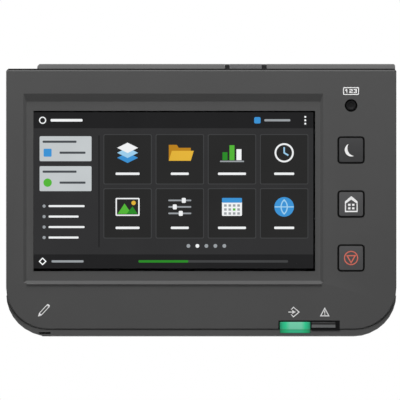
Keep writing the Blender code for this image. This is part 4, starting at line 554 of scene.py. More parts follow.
def box_outline(centre: Point, width: float, height: float, radius: float = 0.0) -> Outline:
    """Rectangle round a centre.

    Args:
        centre: its middle.
        width: its width.
        height: its height.
        radius: of its corners, which are sharp at 0.

    Returns:
        Its points.
    """
    points = []
    for quarter, (side_u, side_v) in enumerate(((1, 1), (-1, 1), (-1, -1), (1, -1))):
        corner = (centre[0] + side_u * (width / 2 - radius), centre[1] + side_v * (height / 2 - radius))
        start = 90.0 * quarter
        points += arc(corner, radius, start, start + 90.0, CORNER_STEPS) if radius else [corner]
    return points


def arc_through(first: Point, middle: Point, last: Point) -> Outline:
    """Points on the arc through three places.

    Args:
        first: where it starts.
        middle: a place that it passes.
        last: where it ends.

    Returns:
        Its points.
    """
    (ax, ay), (bx, by), (cx, cy) = first, middle, last
    twice = 2 * (ax * (by - cy) + bx * (cy - ay) + cx * (ay - by))
    a2, b2, c2 = ax * ax + ay * ay, bx * bx + by * by, cx * cx + cy * cy
    u = (a2 * (by - cy) + b2 * (cy - ay) + c2 * (ay - by)) / twice
    v = (a2 * (cx - bx) + b2 * (ax - cx) + c2 * (bx - ax)) / twice
    start = math.degrees(math.atan2(ay - v, ax - u))
    turn = (math.degrees(math.atan2(by - v, bx - u)) - start + 180) % 360 - 180
    turn += (math.degrees(math.atan2(cy - v, cx - u)) - start - turn + 180) % 360 - 180
    return arc((u, v), math.hypot(ax - u, ay - v), start, start + turn)


def mitre(before: Vector, after: Vector) -> Vector:
    """Step across a bend that lies 1 from both its legs.

    Args:
        before: direction of the leg that comes in.
        after: direction of the leg that goes out.

    Returns:
        The step, kept short at a sharp bend.
    """
    bisector = (before + after).normalized()
    across = Vector((-bisector.y, bisector.x))
    return across / max(MITRE_LIMIT, across.dot(Vector((-before.y, before.x))))


def stroke(points: Outline, width: float) -> Outline:
    """Outline of an open line of even width, with mitred bends.

    Args:
        points: the line's middle.
        width: its width.

    Returns:
        The points round it.
    """
    places = [Vector(point) for point in points]
    legs = [(far - near).normalized() for near, far in zip(places, places[1:])]
    steps = [mitre(before, after) * width / 2 for before, after in zip(legs[:1] + legs, legs + legs[-1:])]
    left = [tuple(place + step) for place, step in zip(places, steps)]
    right = [tuple(place - step) for place, step in zip(places, steps)]
    return left + right[::-1]


def moved_in(points: Outline, distance: float) -> Outline:
    """A closed convex outline with each side moved in by a distance.

    Args:
        points: the outline.
        distance: how far.

    Returns:
        The smaller outline.
    """
    places = [Vector(point) for point in points]
    legs = [(places[(index + 1) % len(places)] - place).normalized() for index, place in enumerate(places)]
    inward = math.copysign(distance, legs[0].x * legs[1].y - legs[0].y * legs[1].x)
    return [tuple(place + mitre(legs[index - 1], legs[index]) * inward) for index, place in enumerate(places)]


def placed(outline: Outline, centre: Point, scale: float = 1.0, turn: float = 0.0) -> Outline:
    """An outline turned, scaled and moved.

    Args:
        outline: drawn round the origin.
        centre: where the origin goes.
        scale: its size.
        turn: in degrees.

    Returns:
        The points in place.
    """
    cos, sin = math.cos(math.radians(turn)) * scale, math.sin(math.radians(turn)) * scale
    return [(centre[0] + u * cos - v * sin, centre[1] + u * sin + v * cos) for u, v in outline]


def mesh_of(piece: Object) -> Mesh:
    """A new mesh of what an object shows with its modifiers."""
    bpy.context.view_layer.update()
    return bpy.data.meshes.new_from_object(piece.evaluated_get(bpy.context.evaluated_depsgraph_get()))


def add_object(name: str, data: ID) -> Object:
    """Adds an object to the scene.

    Args:
        name: of the object.
        data: its mesh, curve, lamp or camera.

    Returns:
        The object.
    """
    made = bpy.data.objects.new(name, data)
    bpy.context.scene.collection.objects.link(made)
    return made


def flat_mesh(name: str, outlines: list[Outline], front: float, back: float) -> Object:
    """Thin closed plate square to Y.

    Args:
        name: of the object.
        outlines: outlines and holes, X and Z.
        front: its place along Y at the front.
        back: its place along Y at the back.

    Returns:
        The plate.
    """
    curve = bpy.data.curves.new(name, "CURVE")
    curve.dimensions = "2D"
    curve.fill_mode = "BOTH"
    curve.extrude = (back - front) / 2
    for outline in outlines:
        spline = curve.splines.new("POLY")
        spline.points.add(len(outline) - 1)
        for point, (u, v) in zip(spline.points, outline):
            point.co = (u, v, 0.0, 1.0)
        spline.use_cyclic_u = True
    guide = add_object(name + "_guide", curve)
    mesh = mesh_of(guide)
    bpy.data.objects.remove(guide)
    upright = Matrix.Rotation(math.radians(90), 4, "X")
    mesh.transform(Matrix.Translation((0.0, (front + back) / 2, 0.0)) @ upright)
    shape = bmesh.new()
    shape.from_mesh(mesh)
    bmesh.ops.remove_doubles(shape, verts=shape.verts, dist=FILM_WELD)
    bmesh.ops.recalc_face_normals(shape, faces=shape.faces)
    shape.to_mesh(mesh)
    shape.free()
    mesh.materials.clear()
    return add_object(name, mesh)


def add_piece(piece: Object, finish: Finish, body: str) -> None:
    """Gives a piece its finish and the body that it rides on.

    Args:
        piece: the object.
        finish: its finish.
        body: the CAD body.
    """
    piece.data.materials.append(finish.material())
    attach(piece, body)
    LOG.info("%s: %s, on %s", piece.name, finish.name, body)


@dataclass(frozen=True)
class PanelPlace:
    """Where the panel's front is in the frame. Its outline's top is a step above the front cover's."""

    left: float
    top: float
    front: float

    @classmethod
    def of_frame(cls) -> PanelPlace:
        """Reads the place from the front cover and the flush error lens."""
        low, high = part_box("front_cover")
        return cls(low.x, high.z + TOP_STEP_MM * MM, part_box("error_lens")[0].y)

    def outline(self, points: Outline) -> Outline:
        """An outline in millimetres from the left and top edges, in metres in the frame."""
        return [(self.left + u * MM, self.top - v * MM) for u, v in points]

    def centre(self, node: str) -> Point:
        """A node's middle in millimetres from the left and top edges."""
        low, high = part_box(node)
        return ((low.x + high.x) / 2 - self.left) / MM, (self.top - (low.z + high.z) / 2) / MM


def new_skin(name: str) -> tuple[NodeTree, NodeSocket]:
    """Starts geometry nodes with one way in and one way out.

    Args:
        name: of the node group.

    Returns:
        The group and the geometry that comes in.
    """
    tree = bpy.data.node_groups.new(name, "GeometryNodeTree")
    for way in ("INPUT", "OUTPUT"):
        tree.interface.new_socket("Geometry", in_out=way, socket_type="NodeSocketGeometry")
    return tree, add_node(tree, "NodeGroupInput", {}).outputs[0]


def closed_skin() -> NodeTree:
    """Geometry nodes that join a solid's loose triangles into one skin, made at the first use.

    Returns:
        The node group.
    """
    found = bpy.data.node_groups.get("closed_skin")
    if found:
        return found
    tree, solid = new_skin("closed_skin")
    bare = add_node(tree, "GeometryNodeRemoveAttribute", {"Name": "custom_normal", "Geometry": solid})
    weld = {"Distance": SKIN_WELD, "Geometry": bare.outputs[0]}
    joined = add_node(tree, "GeometryNodeMergeByDistance", weld)
    add_node(tree, "NodeGroupOutput", {0: joined.outputs[0]})
    return tree


def smooth_skin(sharp: float) -> NodeTree:
    """Geometry nodes that shade a skin smooth and keep its edges, made at the first use.

    Args:
        sharp: the angle in degrees from which an edge stays sharp.

    Returns:
        The node group.
    """
    name = f"smooth_skin_{sharp:.0f}"
    found = bpy.data.node_groups.get(name)
    if found:
        return found
    tree, skin = new_skin(name)
    soft = add_node(tree, "GeometryNodeSetShadeSmooth", {"Shade Smooth": True, "Geometry": skin})
    angle = add_node(tree, "GeometryNodeInputMeshEdgeAngle", {}).outputs["Unsigned Angle"]
    bent = {"operation": "GREATER_THAN", "B": math.radians(sharp), "A": angle}
    edge = add_node(tree, "FunctionNodeCompare", bent).outputs[0]
    keep = {"domain": "EDGE", "Shade Smooth": False, "Geometry": soft.outputs[0], "Selection": edge}
    crisp = add_node(tree, "GeometryNodeSetShadeSmooth", keep)
    add_node(tree, "NodeGroupOutput", {0: crisp.outputs[0]})
    return tree


@dataclass
class Nodes:
    """The CAD nodes that keep their shape and take a finish."""

    objects: dict[str, Object]
    edge_steps: int = 2
    edge_angle: float = 40.0

    def dress(self, finish: Finish, *names: str, edge_mm: float = 0.0, sharp: float = 13.0) -> None:
        """Gives nodes a finish and smooth shading.

        Args:
            finish: the finish.
            names: the nodes.
            edge_mm: the small round that the tool leaves on edges, where it shows.
            sharp: the angle in degrees from which an edge stays sharp.
        """
        for name in names:
            node = self.objects[name]
            node.data.materials.clear()
            node.data.materials.append(finish.material())
            node.modifiers.new("skin", "NODES").node_group = closed_skin()
            if edge_mm:
                bevel = node.modifiers.new("edge", "BEVEL")
                bevel.width = edge_mm * MM
                bevel.segments = self.edge_steps
                bevel.limit_method = "ANGLE"
                bevel.angle_limit = math.radians(self.edge_angle)
            node.modifiers.new("shading", "NODES").node_group = smooth_skin(sharp)
            LOG.info("%s: %s", name, finish.name)


@dataclass
class Printed:
    """Pieces of the front that have signs printed on them."""

    place: PanelPlace
    film_mm: float = 0.06
    film_sink_mm: float = 0.02

    def lay_film(
        self, sign: str, drawn: list[Outline], front: float, ink: Finish, body: str, slot: str
    ) -> None:
        """Lays the ink of a sign on a face.

        Args:
            sign: the piece's name.
            drawn: outlines in millimetres from the panel's left and top edges.
            front: the face's place along Y.
            ink: its finish.
            body: the CAD body that it rides on.
            slot: the record's material slot, which is not used.
        """
        outlines = [self.place.outline(outline) for outline in drawn]
        film = flat_mesh(sign, outlines, front - self.film_mm * MM, front + self.film_sink_mm * MM)
        add_piece(film, ink, body)


@dataclass
class Covers(Printed):
    """Front and rear covers with the signs printed on the front."""

    edge_mm: float = 0.25
    counter_sign_up_mm: float = 11.4
    counter_sign_mm: tuple[float, float] = (12.6, 6.1)
    counter_line_mm: float = 0.72
    counter_corner_mm: float = 0.8
    counter_inner_corner_mm: float = 0.3
    digit_step_mm: float = 3.3
    digit_height_mm: float = 3.1
    digit_line_mm: float = 0.68
    digit_width_share: float = 0.8
    pencil_mm: tuple[float, float] = (29.7, 191.9)
    pencil_turn: float = -47.0
    pencil_length_mm: float = 12.8
    pencil_width_mm: float = 2.7
    pencil_point_mm: float = 2.6
    pencil_corner_mm: tuple[float, float] = (0.5, 0.6)
    pencil_line_mm: float = 0.55
    pencil_solid_mm: float = 4.4
    pencil_inside_right_mm: float = 0.9
    pencil_inside_corner_mm: float = 0.2
    lens_sign_up_mm: float = 10.2
    data_sign_left_mm: float = 23.9
    alert_sign_right_mm: float = 0.5
    sign_line_mm: float = 0.75

    def build(self, nodes: Nodes) -> None:
        """Dresses both covers and prints the signs.

        Args:
            nodes: the CAD nodes.
        """
        nodes.dress(CASE, "front_cover", "rear_cover", edge_mm=self.edge_mm)
        signs = (
            ("counter_sign", self.counter_sign(), WHITE_INK),
            ("pencil_sign", self.pencil_sign(), WHITE_INK),
            ("data_sign", self.data_sign(), GREY_INK),
            ("alert_sign", self.alert_sign(), GREY_INK),
        )
        for sign, drawn, ink in signs:
            self.lay_film(sign, drawn, self.place.front, ink, "panel", "case_plastic")

    def counter_sign(self) -> list[Outline]:
        """Draws boxed digits above the counter key.

        Returns:
            Outlines on the panel.
        """
        u, v = self.place.centre("counter_key")
        v -= self.counter_sign_up_mm
        width, height = self.counter_sign_mm
        both = 2 * self.counter_line_mm
        outer = box_outline((u, v), width, height, self.counter_corner_mm)
        inner = box_outline((u, v), width - both, height - both, self.counter_inner_corner_mm)
        places = [(u + step * self.digit_step_mm, v) for step in (-1, 0, 1)]
        return [outer, inner, *(placed(digit, place) for digit, place in zip(self.digits(), places))]

    def digits(self) -> list[Outline]:
        """Draws block digits one, two and three.

        Returns:
            Outlines round their middles.
        """
        tall, pen = self.digit_height_mm / 2, self.digit_line_mm
        wide, half, in_top = self.digit_width_share * tall, pen / 2, tall - pen
        in_side = wide - pen
        one = [(half, -tall), (half, tall), (-half, tall), (-half, half - in_top)]
        one += [(-wide, pen - in_top), (-wide, -in_top), (-half, -tall)]
        two = [(-wide, -tall), (wide, -tall), (wide, half), (-in_side, half), (-in_side, in_top)]
        two += [(wide, in_top), (wide, tall), (-wide, tall), (-wide, -half), (in_side, -half)]
        three = [(-wide, -tall), (wide, -tall), (wide, tall), (-wide, tall), (-wide, in_top)]
        three += [(in_side, in_top), (in_side, half), (-half, half), (-half, -half), (in_side, -half)]
        under_top = [(in_side, -in_top), (-wide, -in_top)]
        return [one, two + under_top, three + under_top]

    def pencil_sign(self) -> list[Outline]:
        """Draws a slim pencil, its point down to the left, over the place where the pen is kept.

        Returns:
            Outlines on the panel.
        """
        half, end = self.pencil_width_mm / 2, self.pencil_length_mm / 2
        neck, (corner_u, corner_v) = self.pencil_point_mm - end, self.pencil_corner_mm
        body = [(-end, 0.0), (neck, -half), (end - corner_u, -half), (end, corner_v - half)]
        body += [(end, half - corner_v), (end - corner_u, half), (neck, half)]
        width = self.pencil_length_mm - self.pencil_solid_mm
        height = self.pencil_width_mm - 2 * self.pencil_line_mm
        inside = box_outline((self.pencil_inside_right_mm, 0.0), width, height, self.pencil_inside_corner_mm)
        return [placed(outline, self.pencil_mm, turn=self.pencil_turn) for outline in (body, inside)]

    def data_sign(self) -> list[Outline]:
        """Draws an arrow that runs into an open lozenge, over the data lens.

        Returns:
            Outlines on the panel.
        """
        u, v = self.place.centre("error_lens")
        centre = (u - self.data_sign_left_mm, v - self.lens_sign_up_mm)
        half = self.sign_line_mm / 2
        lozenge = [(-2.3, 1.9), (-0.4, 3.8), (4.0, 0.0), (-0.4, -3.8), (-2.3, -1.9)]
        arrow = [(-4.5, -half), (-1.4, -half), (-1.4, -1.6), (1.4, 0.0)]
        arrow += [(-1.4, 1.6), (-1.4, half), (-4.5, half)]
        return [placed(outline, centre) for outline in (stroke(lozenge, self.sign_line_mm), arrow)]

    def alert_sign(self) -> list[Outline]:
        """Draws a triangle with a stroke in it, over the error lens.

        Returns:
            Outlines on the panel.
        """
        u, v = self.place.centre("error_lens")
        centre = (u + self.alert_sign_right_mm, v - self.lens_sign_up_mm)
        outer = [(0.0, -3.8), (3.9, 3.4), (-3.9, 3.4)]
        mark = [(-0.45, -1.2), (0.45, -1.2), (0.3, 1.2), (-0.3, 1.2)]
        outlines = [outer, moved_in(outer, self.sign_line_mm), mark, box_outline((0.0, 1.95), 0.75, 0.7)]
        return [placed(outline, centre) for outline in outlines]


class Ink(Enum):
    """Colours that the lit screen shows."""

    BODY = "333334"
    BAR = "242425"
    TILE = "2b2b2b"
    RIM = "444546"
    CARD = "c3c8ca"
    CARD_TEXT = "4a4e52"
    WHITE = "f2f4f5"
    GREY = "9a9fa3"
    BLUE = "3f93d4"
    SKY = "9fd0ee"
    YELLOW = "e2b33c"
    AMBER = "b98222"
    GREEN = "55b53a"
    LEAF = "2f8a2c"


Mark = tuple[Ink, int, Outline]


@dataclass
class ScreenImage:
    """The picture that the screen shows: a bar, a column of cards, tiles with signs, a pager and a foot bar.

    It is drawn in steps of about 0.8 mm from the window's left and top edges.
    """

    place: PanelPlace
    step_mm: float = 0.793
    window_mm: tuple[float, float] = (21.6, 34.4)
    cell_gap_mm: float = 0.02
    film_mm: float = 0.03
    layer_mm: float = 0.045
    wide: float = 280.2
    tall: float = 156.4
    bar: float = 16.0
    foot: float = 14.0
    column: float = 62.0
    card: float = 25.0
    card_top: float = 8.0
    card_step: float = 30.0
    list_top: float = 78.0
    list_step: float = 10.5
    tiles: tuple[int, int] = (4, 2)
    tiles_left: float = 8.0
    tiles_right: float = 5.0
    tiles_top: float = 6.0
    tiles_bottom: float = 16.0
    tile_gap: float = 4.0
    tile_rim: float = 0.7
    sign_up: float = 6.5
    strip_down: float = 14.5
    strips: tuple[float, ...] = (24.0, 18.0, 28.0, 20.0)
    pages: int = 5
    page_step: float = 9.0
    pager_up: float = 8.5
    pager_right: float = 4.0
    shapes: dict[tuple[Ink, int], list[Outline]] = field(default_factory=dict)

    def draw(self, ink: Ink, layer: int, *outlines: Outline) -> None:
        """Adds outlines in steps to those of a colour and of a layer, which counts towards the front."""
        self.shapes.setdefault((ink, layer), []).extend(outlines)

    def build(self, nodes: Nodes) -> None:
        """Draws the picture and lays it between the display and the glass.

        Args:
            nodes: the CAD nodes.
        """
        nodes.dress(GLASS, "touch_glass")
        nodes.dress(POLARISER, "lcd_cell")
        nodes.dress(FOAM, "screen_gasket")
        nodes.dress(DIFFUSER, "lcd_backlight")
        nodes.dress(ZINC, "lcd_tray")
        self.draw(Ink.BODY, 0, box_outline((self.wide / 2, self.tall / 2), self.wide, self.tall))
        self.draw_bars()
        self.draw_column()
        self.draw_tiles()
        self.lay_films()

    def draw_bars(self) -> None:
        """Draws the top bar with a dial sign and plain strips, and the foot bar with its signs."""
        head, foot = self.bar / 2, self.tall - self.foot / 2
        self.draw(Ink.BAR, 1, box_outline((self.wide / 2, head), self.wide, self.bar))
        self.draw(Ink.BAR, 1, box_outline((self.wide / 2, foot), self.wide, self.foot))
        self.draw(Ink.WHITE, 2, disc((9.0, head), 3.6), disc((9.0, head), 2.5))
        self.draw(Ink.WHITE, 2, box_outline((33.0, head), 32.0, 2.6, 0.9))
        for rise in (-3.4, 0.0, 3.4):
            self.draw(Ink.WHITE, 2, disc((self.wide - 8.0, head + rise), 1.0, 16))
        self.draw(Ink.GREY, 2, box_outline((self.wide - 36.0, head), 26.0, 2.2, 0.8))
        self.draw(Ink.BLUE, 2, box_outline((self.wide - 56.0, head), 6.4, 6.4, 1.4))
        lozenge = [(9.0, foot - 4.0), (13.0, foot), (9.0, foot + 4.0), (5.0, foot)]
        self.draw(Ink.WHITE, 2, lozenge, moved_in(lozenge, 1.1))
        self.draw(Ink.GREY, 2, box_outline((34.0, foot), 32.0, 2.2, 0.8))
        self.draw(Ink.RIM, 2, box_outline((180.0, foot), 150.0, 2.4, 1.1))
        self.draw(Ink.LEAF, 3, box_outline((130.0, foot), 50.0, 2.4, 1.1))

    def draw_column(self) -> None:
        """Draws the column at the left: two pale cards, a short list and the line beside them."""
        middle, first, wide = self.column / 2 + 1, self.bar + self.card_top, self.column - 10
        for top in (first, first + self.card_step):
            self.draw(Ink.CARD, 1, box_outline((middle, top + self.card / 2), wide, self.card, 1.2))
            self.draw(Ink.CARD_TEXT, 2, box_outline((middle - 6, top + 5.5), wide - 18, 2.2, 0.7))
            self.draw(Ink.CARD_TEXT, 2, box_outline((middle + 7, top + 16.5), wide - 26, 2.2, 0.7))
        self.draw(Ink.BLUE, 2, box_outline((14.0, first + 16.5), 8.0, 8.0, 1.0))
        self.draw(Ink.GREEN, 2, disc((14.0, first + self.card_step + 16.5), 4.2))
        for index, shorter in enumerate((0.0, 3.0, 0.0, 3.0)):
            level = self.bar + self.list_top + self.list_step * index
            self.draw(Ink.GREY, 2, disc((10.5, level), 1.6, 20))
            self.draw(Ink.WHITE, 2, box_outline((33.0 - shorter, level), 36.0 - 2 * shorter, 2.0, 0.7))
        side = (self.column + 3.5, (self.bar + self.tall - self.foot) / 2)
        self.draw(Ink.BAR, 1, box_outline(side, 1.2, 112.0))

    def draw_tiles(self) -> None:
        """Draws the tiles with a sign and a plain strip each, and the pager's dots."""
        columns, rows = self.tiles
        left, top, rim = self.column + self.tiles_left, self.bar + self.tiles_top, 2 * self.tile_rim
        width = (self.wide - self.tiles_right - left - self.tile_gap * (columns - 1)) / columns
        height = (self.tall - self.foot - self.tiles_bottom - top - self.tile_gap * (rows - 1)) / rows
        for index, sign in enumerate(self.upper_signs() + self.lower_signs()):
            row, column = divmod(index, columns)
            u = left + width / 2 + column * (width + self.tile_gap)
            v = top + height / 2 + row * (height + self.tile_gap)
            self.draw(Ink.RIM, 1, box_outline((u, v), width, height, 1.6))
            self.draw(Ink.TILE, 2, box_outline((u, v), width - rim, height - rim, 1.2))
            for ink, layer, outline in sign:
                self.draw(ink, layer, placed(outline, (u, v - self.sign_up)))
            self.draw(Ink.WHITE, 3, box_outline((u, v + self.strip_down), self.strips[column], 2.4, 0.8))
        middle = (self.column + self.pager_right + self.wide) / 2
        level = self.tall - self.foot - self.pager_up
        for index in range(self.pages):
            ink = Ink.WHITE if index == 1 else Ink.GREY
            self.draw(ink, 1, disc((middle + (index - self.pages // 2) * self.page_step, level), 1.9, 20))

    def upper_signs(self) -> list[list[Mark]]:
        """Draws the signs of the upper tiles: sheets, folder, chart and clock.

        Returns:
            The marks of each sign, round its middle.
        """
        middle = (0.0, 0.0)
        sheet = [(0.0, -5.2), (10.5, 0.0), (0.0, 5.2), (-10.5, 0.0)]
        stack = ((Ink.BLUE, 3, 5.0), (Ink.SKY, 4, 0.0), (Ink.WHITE, 5, -5.0))
        sheets = [(ink, layer, placed(sheet, (0.0, rise))) for ink, layer, rise in stack]
        back = [(-11.0, -8.0), (-3.0, -8.0), (-1.0, -5.0), (11.0, -5.0), (11.0, 8.0), (-11.0, 8.0)]
        flap = [(-11.0, 8.0), (-8.0, -2.0), (14.0, -2.0), (11.0, 8.0)]
        bars = ((Ink.LEAF, -7.0, 8.0), (Ink.GREEN, 0.0, 15.0), (Ink.WHITE, 7.0, 11.0))
        chart = [(Ink.GREY, 3, box_outline((0.0, 8.6), 24.0, 1.4))]
        chart += [(ink, 3, box_outline((u, 7.4 - tall / 2), 5.0, tall)) for ink, u, tall in bars]
        hands = stroke([(0.0, -5.6), (0.0, 0.0), (4.2, 2.6)], 1.5)
        clock = [(Ink.WHITE, 3, disc(middle, 9.6)), (Ink.WHITE, 3, disc(middle, 7.9)), (Ink.SKY, 4, hands)]
        return [sheets, [(Ink.AMBER, 3, back), (Ink.YELLOW, 4, flap)], chart, clock]

    def lower_signs(self) -> list[list[Mark]]:
        """Draws the signs of the lower tiles: picture, sliders, calendar and globe.

        Returns:
            The marks of each sign, round its middle.
        """
        middle = (0.0, 0.0)
        near, far = [(-10.0, 7.0), (-3.0, -3.5), (4.0, 7.0)], [(-1.0, 7.0), (5.0, -0.5), (10.0, 7.0)]
        frame = (box_outline(middle, 24.0, 18.0, 1.0), box_outline(middle, 21.4, 15.4, 0.4))
        picture = [*((Ink.WHITE, 3, edge) for edge in frame), (Ink.GREEN, 4, near), (Ink.LEAF, 5, far)]
        picture += [(Ink.YELLOW, 4, disc((6.0, -4.0), 2.2, 24))]
        sliders = []
        for rise, shift in ((-6.5, 4.0), (0.0, -5.0), (6.5, 1.0)):
            sliders += [(Ink.GREY, 3, box_outline((0.0, rise), 23.0, 1.6, 0.7))]
            sliders += [(Ink.WHITE, 4, box_outline((shift, rise), 4.0, 5.0, 1.0))]
        calendar = [(Ink.WHITE, 3, box_outline(middle, 20.0, 18.0, 1.0))]
        calendar += [(Ink.BLUE, 4, box_outline((0.0, -6.6), 20.0, 4.8, 0.8))]
        for day in range(12):
            row, column = divmod(day, 4)
            place = (4.4 * column - 6.6, 4.0 * row - 1.4)
            calendar += [(Ink.GREEN if day == 6 else Ink.GREY, 4, box_outline(place, 2.6, 2.4))]
        globe = [(Ink.BLUE, 3, disc(middle, 9.8))]
        for radius, half in ((10.2, 50), (9.0, 44)):
            left = arc((6.5, 0.0), radius, 180 - half, 180 + half, 16)
            globe += [(Ink.SKY, 4, arc((-6.5, 0.0), radius, -half, half, 16) + left)]
        globe += [(Ink.SKY, 5, box_outline(middle, 19.0, 1.1))]
        return [picture, sliders, calendar, globe]

    def lay_films(self) -> None:
        """Turns what was drawn into thin films, one for each colour and layer."""
        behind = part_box("lcd_cell")[0].y
        for (ink, layer), outlines in self.shapes.items():
            back = behind - (self.cell_gap_mm + self.layer_mm * layer) * MM
            on_panel = [placed(outline, self.window_mm, self.step_mm) for outline in outlines]
            drawn = [self.place.outline(outline) for outline in on_panel]
            film = flat_mesh(f"screen_{ink.name.lower()}_{layer}", drawn, back - self.film_mm * MM, back)
            add_piece(film, LitPixels(f"lit LCD, {ink.name.lower()}", ink.value), "panel")


@dataclass
class Keys(Printed):
    """The four keys and the signs printed on their caps."""

    edge_mm: float = 0.2
    moon_mm: float = 5.2
    moon_thick_mm: float = 2.4
    moon_centre_mm: tuple[float, float] = (0.15, -0.1)
    moon_horns: tuple[float, float] = (68.0, 245.0)
    moon_belly: float = 158.0
    house_right_mm: float = 0.15
    house_half_mm: float = 5.05
    house_reach_mm: float = 6.4
    house_eaves_mm: float = -2.0
    house_wall_mm: float = 0.85
    house_sill_mm: float = 1.1
    roof_mm: tuple[float, float] = (2.9, 1.5)
    pane_mm: tuple[float, float] = (1.9, 1.65)
    pane_step_mm: tuple[float, float] = (1.55, 1.4)
    pane_down_mm: float = 2.0
    ring_mm: float = 5.65
    ring_line_mm: float = 0.85
    stop_gap_mm: float = 0.1
    stop_line_mm: float = 0.95

    def build(self, nodes: Nodes) -> None:
        """Dresses the keys and prints their signs.

        Args:
            nodes: the CAD nodes.
        """
        nodes.dress(DARK_KEY_CAP, "energy_key", edge_mm=self.edge_mm)
        nodes.dress(KEY_CAP, "home_key", "stop_key", edge_mm=self.edge_mm)
        nodes.dress(ROUND_KEY_CAP, "counter_key")
        nodes.dress(BLACK_TRIM, *(f"{key}_plunger" for key in KEY_NAMES))
        signs = (self.moon(), WHITE_INK), (self.house(), WHITE_INK), (self.stop(), RED_INK)
        for key, (drawn, ink) in zip(KEY_NAMES, signs):
            centre, front = self.place.centre(f"{key}_key"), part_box(f"{key}_key")[0].y
            outlines = [placed(outline, centre) for outline in drawn]
            self.lay_film(f"{key}_sign", outlines, front, ink, f"{key}_button", "key_plastic")

    def moon(self) -> list[Outline]:
        """Draws a crescent that opens to the upper right.

        Returns:
            Its outline round the cap's middle.
        """
        outer = arc(self.moon_centre_mm, self.moon_mm, *self.moon_horns, 32)
        inner_radius = self.moon_mm - self.moon_thick_mm
        belly = arc(self.moon_centre_mm, inner_radius, self.moon_belly, self.moon_belly, 1)[0]
        return [outer + arc_through(outer[-1], belly, outer[0])[1:-1]]

    def house(self) -> list[Outline]:
        """Draws a house with a thick roof and a window of four panes.

        Returns:
            Outlines round the cap's middle.
        """
        half, eaves, base = self.house_half_mm, self.house_eaves_mm, self.house_reach_mm
        outer = [(0.0, -base), (half, eaves), (half, base), (-half, base), (-half, eaves)]
        side, under, floor = half - self.house_wall_mm, eaves + self.roof_mm[1], base - self.house_sill_mm
        inside = [(0.0, self.roof_mm[0] - base), (side, under), (side, floor), (-side, floor), (-side, under)]
        step_u, step_v = self.pane_step_mm
        places = [(u * step_u, self.pane_down_mm + v * step_v) for u in (-1, 1) for v in (-1, 1)]
        panes = [box_outline(place, *self.pane_mm) for place in places]
        return [placed(outline, (self.house_right_mm, 0.0)) for outline in (outer, inside, *panes)]

    def stop(self) -> list[Outline]:
        """Draws a ring with a triangle in outline that stands on its point.

        Returns:
            Outlines round the cap's middle.
        """
        middle, inner = (0.0, 0.0), self.ring_mm - self.ring_line_mm
        points = arc(middle, inner - self.stop_gap_mm, 90.0, 330.0, 2)
        ring = [disc(middle, self.ring_mm, 48), disc(middle, inner, 48)]
        return [*ring, points, moved_in(points, self.stop_line_mm)]


@dataclass
class IndicatorBar:
    """Black frame in the lower edge with the lit data lens, the dark error lens, and a black sheet round that
    as painted shade.
    """

    place: PanelPlace
    frame_edge_mm: float = 0.15
    lens_edge_mm: float = 0.3
    shade_sheet_rise_mm: float = 0.05
    shade_sheet_thick_mm: float = 0.9
    shade_sheet_cover_mm: float = 1.1
    shade_sheet_right_mm: float = 2.4
    shade_sheet_above_mm: float = 1.15
    shade_sheet_below_mm: float = 1.85

    def build(self, nodes: Nodes) -> None:
        """Dresses the bar and sets the black sheet of painted shade.

        Args:
            nodes: the CAD nodes.
        """
        nodes.dress(BLACK_TRIM, "indicator_frame", edge_mm=self.frame_edge_mm)
        nodes.dress(GREEN_PIPE, "data_lens", edge_mm=self.lens_edge_mm)
        nodes.dress(SMOKE, "error_lens", edge_mm=self.lens_edge_mm)
        self.set_shade_sheet()

    def set_shade_sheet(self) -> None:
        """Sets a black sheet below the error lens and over its right end: painted shade, for the shadow under
        the frame and in the gap at its right end.
        """
        low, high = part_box("error_lens")
        inside, right = high.x - self.shade_sheet_cover_mm * MM, high.x + self.shade_sheet_right_mm * MM
        above, below = high.z + self.shade_sheet_above_mm * MM, low.z - self.shade_sheet_below_mm * MM
        # The sheet is painted shade: a dark piece where there is only shadow under the error lens and beside
        # its right end.
        corner = [(low.x, low.z), (inside, low.z), (inside, above)]
        corner += [(right, above), (right, below), (low.x, below)]
        front, back = self.place.front - self.shade_sheet_rise_mm * MM, self.place.front + self.shade_sheet_thick_mm * MM
        add_piece(flat_mesh("indicator_shade_sheet", [corner], front, back), BLACK_TRIM, "panel")


@dataclass
class Inside:
    """What the covers hold."""

    def build(self, nodes: Nodes) -> None:
        """Dresses the boards, their parts, the cables, the chassis plate and the hinge leaves.

        Args:
            nodes: the CAD nodes.
        """
        nodes.dress(ZINC, "chassis_plate", "hinge_leaf_left", "hinge_leaf_right")
        nodes.dress(BOARD, "main_board", "key_board")
        nodes.dress(RESIN, "processor_chip", "memory_chip")
        nodes.dress(NYLON, "lcd_connector", "key_connector", "key_board_connector")
        nodes.dress(CABLE_FILM, "lcd_cable", "key_cable")
        nodes.dress(LED_RESIN, "data_led", "error_led")
        nodes.dress(BLACK_TRIM, "buzzer", "pen_tube", *(f"{key}_switch" for key in KEY_NAMES))


@dataclass
class Pen:
    """The pen in the lower edge."""

    def build(self, nodes: Nodes) -> None:
        """Dresses the pen."""
        nodes.dress(PEN_SHELL, "pen_barrel")
        nodes.dress(BLACK_TRIM, "pen_nib", "pen_tail")


